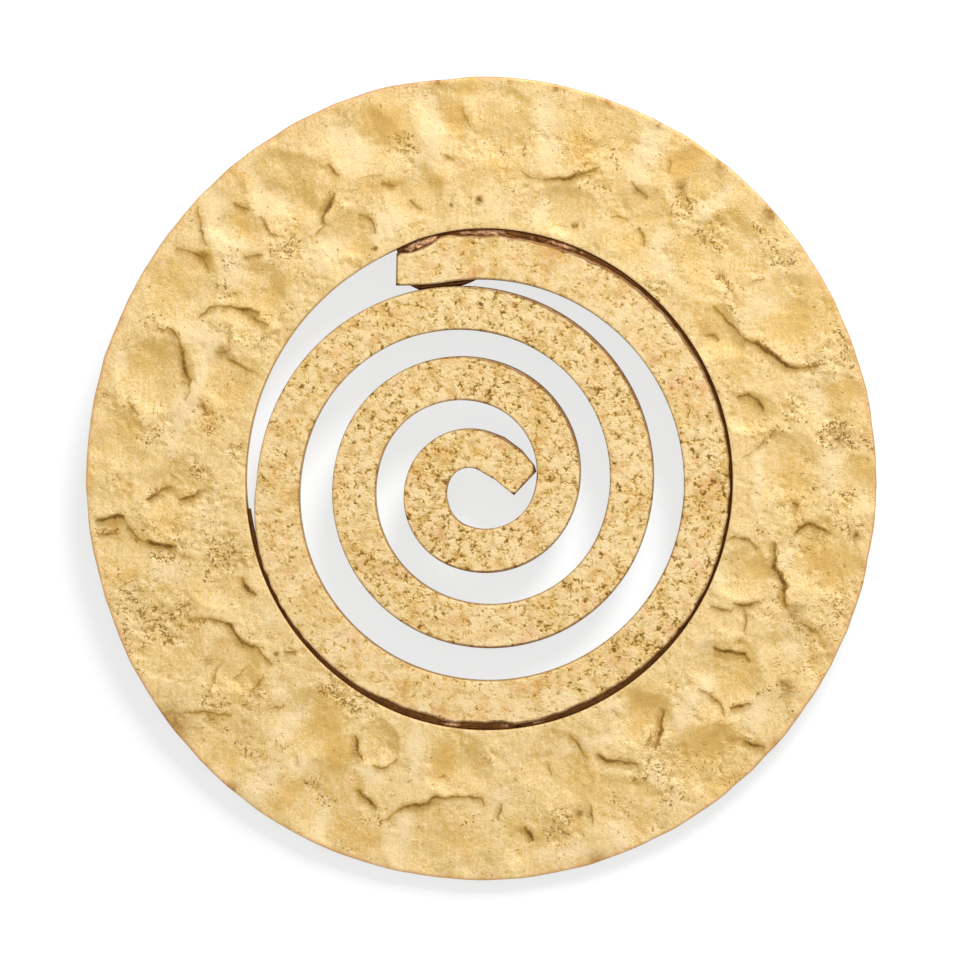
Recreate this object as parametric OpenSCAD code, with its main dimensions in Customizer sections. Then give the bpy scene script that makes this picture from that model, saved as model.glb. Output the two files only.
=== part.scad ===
// Spiral disc earring of the clip kind: a hammered brass disc with a large hole,
// a flat brass strip wound into a spiral in the hole, and a spring clip on the back.
// It lies on a flat surface, face up, on its lower rim and on the clip's round pad.

/* [Disc] */
// Width of the disc from left to right, mm
disc_w = 63.4; // [60:0.1:64]
// Height of the disc from top to bottom, mm
disc_h = 64.6; // [64.1:0.1:68]
// Thickness of the hammered sheet, mm
sheet_t = 1.0; // [0.8:0.1:1.6]
// Depth of the hammer marks, 1 as in the table of marks
mark_depth = 1; // [0.5:0.1:1.5]

/* [Hole] */
// Width of the hole from left to right, mm
hole_w = 38.7; // [38.6:0.1:39.6]
// Height of the hole from top to bottom, mm
hole_h = 39.9; // [39.7:0.1:41]
// How far the hole's centre lies right of the disc's centre, mm
hole_shift = 0.7; // [0.5:0.1:0.9]

/* [Spiral strip] */
// Width of the flat strip, mm
strip_w = 3.5; // [3:0.1:3.6]
// Thickness of the flat strip, mm
strip_t = 1.2; // [0.8:0.1:1.6]
// Gap between the strip and the edge of the hole where they come closest, mm
seam_gap = 0.15; // [0.1:0.05:0.3]

/* [Ear clip] */
// Width of the clip's spring strip, mm
clip_w = 6; // [4:0.5:8]
// Thickness of the clip's metal, mm
clip_t = 0.8; // [0.6:0.1:1]
// Gap for the ear lobe at the clip's bend, mm
lobe_gap = 2.6; // [2:0.1:4]
// Diameter of the round pad, mm
pad_d = 9.4; // [8:0.1:10]
// How far the clip's bend is centred above the disc's centre, mm
bend_y = 27.6; // [27:0.1:28.5]

/* [Hidden] */
$fn = 120;

brass = "#e0b768";
dull_brass = "#c79f55";

// Where the strip starts, from the disc's centre, and its heading there, clockwise from the top.
strip_start = [-6.53, 17.4];
strip_heading = 91.5;
// The bends of the strip, from its outer end inwards. A sweep is clockwise, or anticlockwise
// where it is negative, and the radius is that of the strip's middle line.
// sweep in degrees, radius in mm
bends = [
    [-10, 23.3],
    [30, 17.9],
    [90, 18.0],
    [90, 17.5],
    [90, 16.4],
    [90, 14.5],
    [90, 13.4],
    [90, 11.3],
    [90, 10.6],
    [90, 8.5],
    [90, 7.4],
    [90, 5.8],
    [90, 4.2],
    [90, 3.5]
];
// Outline of the strip's straight inner end. It starts with a root inside the last bend, and its
// outer side is filed in to clear the next turn.
// distance to the inner side of the middle line and distance along it, in mm
half_w = strip_w / 2;
tip_outline = [
    [-half_w + 0.15, -0.4],
    [-half_w, 0],
    [-half_w, 0.9],
    [-half_w + 0.45, 2.6],
    [-half_w + 1.25, 4],
    [-half_w + 1.65, 4.3],
    [half_w + 0.5, 3.35],
    [half_w, 1.5],
    [half_w, 0],
    [half_w - 0.15, -0.4]
];

// Solder in the seam between the strip and the disc, as stretches of the dial.
// first and last clock angle in degrees
solder_runs = [
    [342, 350],
    [163, 171],
    [183, 190]
];
// Height of a lump, how far it reaches in from the hole's edge, and its gap to that edge, mm
solder_t = 0.9;
solder_depth = 1.2;
solder_gap = 0.06;

// The main hammer marks on the face, by their place on the dial, 0 degrees at the top.
// clock angle in degrees, distance from the centre, radius and depth in mm
hammer_marks = [
    [5, 27.6, 3.4, 0.11],
    [17, 22.6, 2.4, 0.16],
    [20, 29.4, 3.2, 0.1],
    [32, 24.2, 3.1, 0.12],
    [36, 29.7, 2.8, 0.1],
    [47, 27.0, 3.4, 0.12],
    [59, 22.4, 2.3, 0.18],
    [62, 28.6, 3.6, 0.1],
    [76, 22.3, 1.8, 0.15],
    [78, 28.7, 2.9, 0.12],
    [88, 25.0, 3.0, 0.12],
    [91, 30.4, 2.2, 0.1],
    [103, 27.7, 3.4, 0.13],
    [109, 22.4, 2.2, 0.15],
    [119, 29.2, 2.8, 0.12],
    [129, 25.1, 3.1, 0.14],
    [141, 28.9, 3.4, 0.12],
    [146, 23.0, 2.6, 0.14],
    [156, 28.6, 2.8, 0.1],
    [165, 24.0, 3.1, 0.12],
    [172, 29.6, 2.8, 0.1],
    [184, 23.0, 2.8, 0.15],
    [190, 29.3, 3.0, 0.1],
    [201, 22.8, 1.8, 0.15],
    [206, 28.7, 3.2, 0.12],
    [216, 24.0, 3.2, 0.12],
    [224, 29.5, 2.9, 0.1],
    [233, 25.0, 2.5, 0.14],
    [243, 28.4, 3.0, 0.12],
    [249, 22.6, 2.6, 0.12],
    [259, 29.4, 2.7, 0.12],
    [267, 24.6, 3.0, 0.12],
    [276, 29.3, 2.6, 0.1],
    [288, 27.4, 3.2, 0.2],
    [292, 21.6, 2.2, 0.12],
    [303, 28.6, 3.1, 0.12],
    [309, 23.2, 2.9, 0.14],
    [317, 28.4, 2.4, 0.16],
    [326, 27.9, 3.3, 0.2],
    [332, 22.2, 2.3, 0.14],
    [341, 28.9, 3.0, 0.12],
    [347, 23.6, 2.6, 0.12],
    [354, 29.8, 2.4, 0.1]
];

// Gap between the clip and the back of the disc, length of the clip's tab on the back, and
// distance from the clip's bend to the middle of its pad, mm
clip_seat = 0.06;
tab_length = 5.6;
pad_reach = 3;
// Inner and outer radius of the clip's bend, and the height of its middle behind the disc
bend_inner = lobe_gap / 2;
bend_outer = bend_inner + clip_t;
bend_z = -clip_seat - bend_outer;

// A lens reaches this much past its mark, as a ratio and in mm, so that it clears the face.
lens_margin = 1.03;
lens_rise = 0.05;

// The rim and the pad's outer face lie in one plane. Its tilt follows from how far the pad stands
// behind the disc and how far it is from the lower rim.
rim_reach = disc_h / 2 + bend_y;
rest_tilt = asin(bend_outer / norm([rim_reach, bend_z])) + atan2(-bend_z, rim_reach);
rest_lift = disc_h / 2 * sin(rest_tilt);
rest_shift = sheet_t / 2 * sin(rest_tilt);

// Place on the dial at a clock angle, 0 degrees at the top and turning clockwise
function on_dial(clock, r) = [r * sin(clock), r * cos(clock), 0];

// Radius of the ball that leaves a mark of the given radius and depth in a flat face
function ball_radius(mark_r, depth) = (mark_r * mark_r + depth * depth) / (2 * depth);

// Circle drawn out to an oval with straight flanks
module oval(w, h) {
    for (side = [-1, 1])
        translate([0, side * (h - w) / 2])
            circle(d = w);
    square([w, h - w], center = true);
}

// Turns the flat earring into its pose at rest, with the lowest points at zero height
module at_rest() {
    translate([0, rest_shift, rest_lift])
        rotate([rest_tilt, 0, 0])
            children();
}

// Shallow round lens that is taken out of the face to leave one hammer mark
module hammer_mark(clock, r, mark_r, depth) {
    ball_r = ball_radius(mark_r, depth);
    translate(on_dial(clock, r) + [0, 0, sheet_t])
        rotate_extrude($fn = 60)
            intersection() {
                translate([0, ball_r - depth])
                    circle(ball_r, $fn = 720);
                translate([0, -2 * depth])
                    square([mark_r * lens_margin, 2 * depth + lens_rise]);
            }
}

module hammered_disc() {
    color(brass)
        at_rest()
            difference() {
                linear_extrude(sheet_t)
                    difference() {
                        oval(disc_w, disc_h);
                        translate([hole_shift, 0])
                            oval(hole_w, hole_h);
                    }
                for (mark = hammer_marks)
                    hammer_mark(mark[0], mark[1], mark[2], mark[3] * mark_depth);
            }
}

// One bend of the strip. It starts at the origin, heads along +Y and turns about (radius, 0).
module bend(sweep, radius) {
    side = sign(sweep);
    translate([side * radius, 0, 0])
        rotate([0, 0, side > 0 ? 180 - sweep : 0])
            rotate_extrude(angle = abs(sweep))
                translate([radius - strip_w / 2, 0])
                    square([strip_w, strip_t]);
}

// Moves what follows a bend to the bend's end
module after_bend(sweep, radius) {
    side = sign(sweep);
    translate([side * radius, 0, 0])
        rotate([0, 0, -sweep])
            translate([-side * radius, 0, 0])
                children();
}

// The strip from one bend on to its inner end
module strip_from(i) {
    if (i < len(bends)) {
        bend(bends[i][0], bends[i][1]);
        after_bend(bends[i][0], bends[i][1])
            strip_from(i + 1);
    } else {
        linear_extrude(strip_t)
            polygon(tip_outline);
    }
}

// One lump of solder that fills the seam beside the strip
module solder(first, last) {
    linear_extrude(solder_t)
        intersection() {
            difference() {
                translate([hole_shift, 0])
                    oval(hole_w - 2 * solder_gap, hole_h - 2 * solder_gap);
                translate([hole_shift, 0])
                    oval(hole_w - 2 * solder_depth, hole_h - 2 * solder_depth);
            }
            polygon([
                [0, 0],
                [hole_h * sin(first), hole_h * cos(first)],
                [hole_h * sin(last), hole_h * cos(last)]
            ]);
        }
}

module spiral_strip() {
    color(brass)
        at_rest() {
            intersection() {
                translate([strip_start[0], strip_start[1], 0])
                    rotate([0, 0, -strip_heading])
                        strip_from(0);
                translate([hole_shift, 0, -strip_t])
                    linear_extrude(3 * strip_t)
                        oval(hole_w - 2 * seam_gap, hole_h - 2 * seam_gap);
            }
            for (run = solder_runs)
                solder(run[0], run[1]);
        }
}

module ear_clip() {
    color(dull_brass)
        at_rest()
            translate([0, bend_y, bend_z]) {
                // Tab against the back of the disc
                translate([-clip_w / 2, -tab_length, bend_inner])
                    cube([clip_w, tab_length, clip_t]);
                // Bend over the top of the ear lobe
                rotate([90, 0, 90])
                    rotate([0, 0, -90 - rest_tilt])
                        rotate_extrude(angle = 180 + rest_tilt)
                            translate([bend_inner, -clip_w / 2])
                                square([clip_t, clip_w]);
                // Spring arm and round pad behind the ear lobe
                rotate([-rest_tilt, 0, 0])
                    translate([0, 0, -bend_outer]) {
                        translate([-clip_w / 2, -pad_reach, 0])
                            cube([clip_w, pad_reach, clip_t]);
                        translate([0, -pad_reach, 0])
                            cylinder(d = pad_d, h = clip_t);
                    }
            }
}

hammered_disc();
spiral_strip();
ear_clip();
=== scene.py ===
"""Looks of the spiral disc earring: hammered disc, spiral strip, solder, ear clip and a white stage."""
import functools
import math

import bmesh
import bpy
import numpy as np
from mathutils import Matrix, Vector


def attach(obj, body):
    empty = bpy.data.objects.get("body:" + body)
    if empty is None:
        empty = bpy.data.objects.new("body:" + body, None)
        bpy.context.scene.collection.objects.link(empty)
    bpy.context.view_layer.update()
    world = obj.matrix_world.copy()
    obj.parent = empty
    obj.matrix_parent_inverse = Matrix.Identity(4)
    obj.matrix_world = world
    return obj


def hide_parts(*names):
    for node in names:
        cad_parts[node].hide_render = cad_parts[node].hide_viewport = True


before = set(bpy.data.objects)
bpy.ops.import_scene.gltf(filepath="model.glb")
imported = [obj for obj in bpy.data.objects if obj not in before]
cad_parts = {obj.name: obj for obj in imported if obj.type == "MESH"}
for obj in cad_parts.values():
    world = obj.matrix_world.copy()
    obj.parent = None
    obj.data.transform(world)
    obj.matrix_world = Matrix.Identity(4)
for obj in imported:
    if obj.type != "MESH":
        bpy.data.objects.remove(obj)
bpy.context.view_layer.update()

bl_info = {
    "name": "Spiral disc earring",
    "version": (1, 0, 0),
    "blender": (4, 5, 0),
    "location": "3D View > Sidebar > Earring",
    "description": "Dresses the frame of a hammered brass clip earring with a spiral centre",
    "category": "Object",
}

MM = 0.001

# The earring lies on its lower rim and on the clip's pad, so its face leans by this angle, and its
# centre lies this far up the sheet and above it, in mm.
REST_TILT = math.radians(4.073)
REST_SHIFT = 0.0355
REST_LIFT = 2.294

# The camera looks down from a little to the right, and this many mm of the sheet fit its frame. The
# lens is long, in mm, because the photo shows hardly any perspective.
LENS = 200
CAMERA_LEAN = math.radians(4)
FRAME_WIDTH = 77

# Lamps stand this far off, in metres, and the room lights all sides evenly.
LAMP_DISTANCE = 0.8
ROOM_LIGHT = 0.85

# How much the sheet glows, half its width in metres and how many mm it lies below the earring.
SHEET_GLOW = 0.76
FLOOR_HALF_SIZE = 3.0
FLOOR_DROP = 0.02

# Direction across the face that most of the light comes from. Each crease stands higher on that side.
UPPER_RIGHT = np.array([0.5, 0.86])

# Outline of the disc, a little uneven as cut by hand.
# clock angle in degrees from the top, radius of the rim in mm
RIM = (
    (4, 32.33), (17, 32.12), (38, 31.98), (55, 31.8), (85, 31.68), (125, 31.75), (150, 31.98),
    (175, 32.2), (212, 32.2), (232, 31.92), (250, 31.7), (298, 31.7), (321, 31.98), (340, 32.25),
    (348, 32.3), (354, 32.12),
)

# Edge of the hole and the open seam between it and the spiral strip.
# clock angle in degrees from the top, radius of the hole in mm
HOLE = (
    (0, 20.12), (8, 20.16), (30, 20.2), (60, 20.2), (90, 20.2), (130, 20.15), (160, 20.12),
    (180, 20.0), (200, 19.78), (215, 19.48), (240, 19.06), (260, 18.78), (280, 18.74), (300, 18.9),
    (320, 19.18), (335, 19.44), (341, 19.6), (346, 19.85), (350, 19.95),
)
# clock angle in degrees from the top, width of the seam in mm
SEAM = (
    (1.5, 0.56), (4.7, 0.42), (8, 0.5), (20, 0.46), (32, 0.32), (45, 0.22), (60, 0.19), (90, 0.15),
    (120, 0.15), (135, 0.26), (150, 0.42), (158, 0.4), (164, 0.36), (166, 0.22), (172, 0.2),
    (173.5, 0.55), (184, 0.5), (185.5, 0.36), (189.5, 0.36), (191, 0.56), (203, 0.48), (210, 0.37),
    (222, 0.29), (235, 0.23), (256, 0.2), (264, 0.13), (300, 0.13), (338, 0.12), (340.5, 0.2), (342, 0.5),
    (344, 0.7), (347, 0.68), (349, 0.55), (351, 0.22), (353, 0.14), (355, 0.32), (357, 0.46),
)

# Clock angles between which the crescent-shaped gap leaves the hole's wall bare.
BARE_WALL = (262, 342)

# Hammer marks on the face, shallow hollows that run into one another. The ridges between them fade
# over this many mm of height.
RIDGE_SOFTNESS = 0.025
# clock angle in degrees, distance from the centre, radius and depth in mm
HAMMER_MARKS = (
    (5, 27.6, 3.4, 0.11), (17, 22.6, 2.4, 0.16), (20, 29.4, 3.2, 0.1), (32, 24.2, 3.1, 0.12),
    (36, 29.7, 2.8, 0.1), (47, 27.0, 3.4, 0.12), (59, 22.4, 2.3, 0.18), (62, 28.6, 3.6, 0.1),
    (76, 22.3, 1.8, 0.15), (78, 28.7, 2.9, 0.12), (88, 25.0, 3.0, 0.12), (91, 30.4, 2.2, 0.1),
    (103, 27.7, 3.4, 0.13), (109, 22.4, 2.2, 0.15), (119, 29.2, 2.8, 0.12), (129, 25.1, 3.1, 0.14),
    (141, 28.9, 3.4, 0.12), (146, 23.0, 2.6, 0.14), (156, 28.6, 2.8, 0.1), (165, 24.0, 3.1, 0.12),
    (172, 29.6, 2.8, 0.1), (184, 23.0, 2.8, 0.15), (190, 29.3, 3.0, 0.1), (201, 22.8, 1.8, 0.15),
    (206, 28.7, 3.2, 0.12), (216, 24.0, 3.2, 0.12), (224, 29.5, 2.9, 0.1), (233, 25.0, 2.5, 0.14),
    (243, 28.4, 3.0, 0.12), (249, 22.6, 2.6, 0.12), (259, 29.4, 2.7, 0.12), (267, 24.6, 3.0, 0.12),
    (276, 29.3, 2.6, 0.1), (288, 27.4, 3.2, 0.2), (292, 21.6, 2.2, 0.12), (303, 28.6, 3.1, 0.12),
    (309, 23.2, 2.9, 0.14), (317, 28.4, 2.4, 0.16), (326, 27.9, 3.3, 0.2), (332, 22.2, 2.3, 0.14),
    (341, 28.9, 3.0, 0.12), (347, 23.6, 2.6, 0.12), (354, 29.8, 2.4, 0.1),
)

# Creases where the hammer folded the face: steps whose upper right side stands higher.
# strength (1 deep, 0.75 clear, 0.5 light, 0.3 faint), then points as clock angle in degrees and
# distance from the centre in mm
CREASES = (
    (0.3, (8, 25.4), (8.7, 24.8), (10.5, 24.6), (12, 24.5)),
    (0.75, (11.5, 24.5), (13.5, 24.8), (16.3, 25.1), (18, 25.7), (20, 26.3), (21.5, 26.9)),
    (0.5, (27, 26.9), (29, 26.5), (31.3, 26.3)),
    (0.3, (26.5, 23.5), (28.5, 23.9), (30.5, 24)),
    (0.5, (32, 24), (34, 23.6), (35.5, 22.8)),
    (0.3, (42.3, 26.7), (43.8, 26)),
    (0.3, (31, 29.9), (32.2, 28.8)),
    (0.3, (50, 25), (50.8, 25.4), (52.5, 25.2), (53, 24.5)),
    (0.3, (53.6, 26.5), (54.3, 27.4), (54.9, 28.1)),
    (0.5, (57.5, 21.3), (58, 22), (60, 22.3)),
    (0.5, (53, 23.4), (57, 23.6), (60.5, 23.95), (62, 24.05)),
    (1, (60.8, 23.9), (62.3, 24.1), (63.5, 24.7), (65.3, 25.2), (67, 25.6), (68.8, 26),
     (70, 26.5), (70.8, 27.4)),
    (0.5, (69.8, 26.3), (70.8, 27.4), (71.1, 28.4), (71.5, 29.6)),
    (0.75, (71.8, 21.5), (72.3, 22.4), (73.2, 23), (75, 23.3), (77, 23.45)),
    (0.3, (79.3, 23.4), (82, 22.9), (83.8, 22.1), (85.2, 21)),
    (0.5, (80, 24.1), (82, 23.4)),
    (0.75, (98.8, 28.5), (97.8, 27.3), (97.5, 26.5), (98.3, 26), (100, 25.4)),
    (0.75, (94, 25), (94.5, 25.7)),
    (1, (101, 23.9), (104, 24.4), (106.5, 24.6), (107.5, 25.2), (109, 25.8), (111, 26.1), (113, 26.8)),
    (0.5, (104.5, 23), (102.5, 22.2), (102.5, 21.2), (103.7, 20.1)),
    (0.5, (114, 27.8), (114.3, 29.9)),
    (0.75, (113.2, 24.5), (115, 23.5), (116, 22.4)),
    (0.5, (120.2, 24.4), (118, 24.1), (116.5, 23.6), (115.7, 22.7)),
    (0.5, (117.4, 22.9), (118.6, 20.9)),
    (1, (122.8, 25.7), (124, 24.6), (126, 22.9)),
    (0.5, (123.2, 25), (124, 26.2)),
    (0.5, (121, 24.5), (123.6, 24.3)),
    (0.75, (129.2, 28.1), (131, 27.6), (132.8, 27)),
    (0.75, (133, 31.4), (134, 30.5), (134.8, 29.5)),
    (0.5, (134.3, 27.4), (133, 26.4), (133, 25.4), (133.7, 24)),
    (0.75, (140.8, 23.3), (143, 24.2), (145, 25), (147.2, 25.9)),
    (0.5, (143.5, 24.3), (145.5, 24.5), (148.8, 25.3)),
    (0.3, (149.5, 22.3), (150, 21)),
    (0.75, (150.4, 26.2), (152, 25.7), (154, 25.1), (156, 24.6), (157.2, 23.6)),
    (0.5, (159, 24.2), (160, 22.3), (161, 21.4)),
    (0.5, (162, 29.2), (161.2, 27.4)),
    (1, (171.7, 29.4), (172.3, 28.6), (173, 28)),
    (0.3, (166.3, 24.5), (166.9, 23.1)),
    (0.5, (177.3, 27.4), (176.7, 26.7), (175.9, 26)),
    (0.3, (186.5, 23.8), (188.3, 24.2)),
    (0.5, (179.2, 26.4), (179.8, 25.7), (181.5, 25.5), (184.5, 25.55)),
    (0.75, (183, 25.5), (186.5, 25.7), (188.3, 25.8), (189.5, 26.4), (192, 26.8), (193.5, 27.1),
     (194.6, 27.8)),
    (0.3, (194.2, 27.5), (195.6, 28.3), (196.5, 28.8)),
    (0.75, (197.4, 27.9), (198.8, 27.4), (200.3, 27.2), (202, 26.7)),
    (0.5, (196.5, 23.3), (197.4, 24), (199.3, 24.5), (201.2, 24.6)),
    (0.75, (202.5, 24.5), (204.2, 24.1), (205, 23.5), (206.3, 22.7)),
    (0.3, (212.2, 27.4), (214, 26.6)),
    (0.3, (220.8, 24.1), (222.3, 24.8), (223.5, 25.2)),
    (0.3, (224.8, 24.9), (227.4, 24.95)),
    (0.5, (226, 26), (227, 26.6)),
    (0.5, (227.4, 25.4), (227.6, 24.4), (228, 23.4)),
    (0.5, (226.3, 27.5), (228.5, 28.4), (230.3, 29.2), (231.4, 30), (232.4, 30.9)),
    (0.5, (227.4, 28.7), (228.6, 29.1), (230, 29.3)),
    (0.3, (231.1, 25.8), (231.4, 23.9)),
    (0.3, (231.8, 28), (232.9, 27), (234, 26.4), (235, 25.3)),
    (0.5, (228, 22.4), (231, 22.45), (233.2, 22.4)),
    (0.75, (232.5, 22.35), (234.3, 22.8), (236, 23.2), (238.5, 23.25), (240, 23.3), (241.5, 23.8),
     (243, 24.6)),
    (0.5, (242.3, 24.1), (243.5, 25), (244, 25.6), (244.9, 26.2)),
    (0.5, (226.6, 20), (227.6, 20.5), (229, 21)),
    (0.3, (246, 26.4), (247.2, 25.8), (248.2, 24.9)),
    (0.75, (242.3, 20.1), (244, 20.45), (246, 20.65), (248.5, 20.75)),
    (1, (257.7, 24.8), (258.2, 25.8), (259.1, 26.7), (259.9, 27.5)),
    (0.5, (256, 25.5), (257.2, 25.9), (258.2, 26.3)),
    (0.5, (259.4, 27.2), (260.3, 27.9), (262, 28.4), (263.5, 28.7)),
    (1, (264.1, 28.5), (264.3, 29.6), (264, 31.3)),
    (0.5, (261.9, 31.2), (261.7, 29.2)),
    (0.3, (254.9, 23.9), (256, 25)),
    (0.75, (266.5, 27.1), (267.5, 26.2), (268.3, 25.5), (269.2, 24.6)),
    (0.75, (266.3, 24.5), (266.6, 23.5), (267.2, 22.8), (268.4, 22.6)),
    (0.5, (280.7, 27.8), (281.8, 28.4), (282.9, 29.1)),
    (0.3, (282.8, 29.8), (283.2, 31.4)),
    (0.5, (283.3, 22.4), (284.6, 22.8), (286.3, 23.1)),
    (0.3, (285, 24.6), (287, 24.35), (288.5, 24.45)),
    (0.75, (287.5, 24.35), (289.2, 24.7), (290.5, 25.15), (292, 25.6), (293.6, 26), (295.2, 26.7)),
    (0.5, (294.6, 26.4), (295.8, 27.1), (296.4, 27.9)),
    (0.3, (295.2, 28.5), (296, 27.3)),
    (0.5, (295.9, 23.7), (296.9, 22.9), (297.8, 22.6)),
    (0.3, (297, 22.5), (300, 23.1), (303, 23.7)),
    (0.5, (295.8, 22.7), (295.9, 21.5), (295.5, 20.8), (296, 20)),
    (0.5, (300, 26.1), (301.5, 25.8), (303, 25.6), (304.3, 24.9)),
    (0.75, (303.8, 25.2), (305, 24.3), (305.9, 23.6), (306.8, 22.8), (307.6, 21.9)),
    (0.3, (306.8, 22.4), (309, 21.1)),
    (0.5, (304.8, 23.6), (305.8, 22.6), (306.5, 20.7)),
    (0.5, (307.2, 30.8), (308.3, 29.8), (308.9, 28.8), (308.6, 27.9), (307.6, 27.2)),
    (0.5, (310.6, 28.5), (312, 29.8), (313.2, 30.6), (314.2, 31.5)),
    (0.5, (313.7, 26), (315, 25.5), (316.5, 24.9)),
    (0.5, (318.5, 29.7), (319.2, 29), (320.1, 28.3)),
    (0.5, (320.6, 27.7), (320.3, 26.8), (319.9, 26), (321, 25.2)),
    (0.3, (325.5, 23.5), (327.8, 23.75), (329.4, 24)),
    (0.75, (328.8, 23.9), (330, 24.7), (331.2, 24.9), (332.4, 25.3), (333.8, 25.8)),
    (0.5, (334.6, 28.2), (335, 27.3), (335.9, 26.7)),
    (0.5, (335.6, 23.5), (337, 23), (337.8, 22.3), (337.5, 21.3)),
    (0.3, (338.3, 25.9), (340.5, 25.95), (342, 25.7), (343.6, 25.5)),
    (0.5, (341.8, 25.1), (343.3, 24.8), (344.6, 24.4)),
    (0.5, (346.2, 23.2), (347.3, 22.5), (348.7, 22)),
    (0.5, (354, 26.3), (356, 25.7)),
    (0.3, (357.5, 30), (358.8, 28.3)),
)

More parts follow.
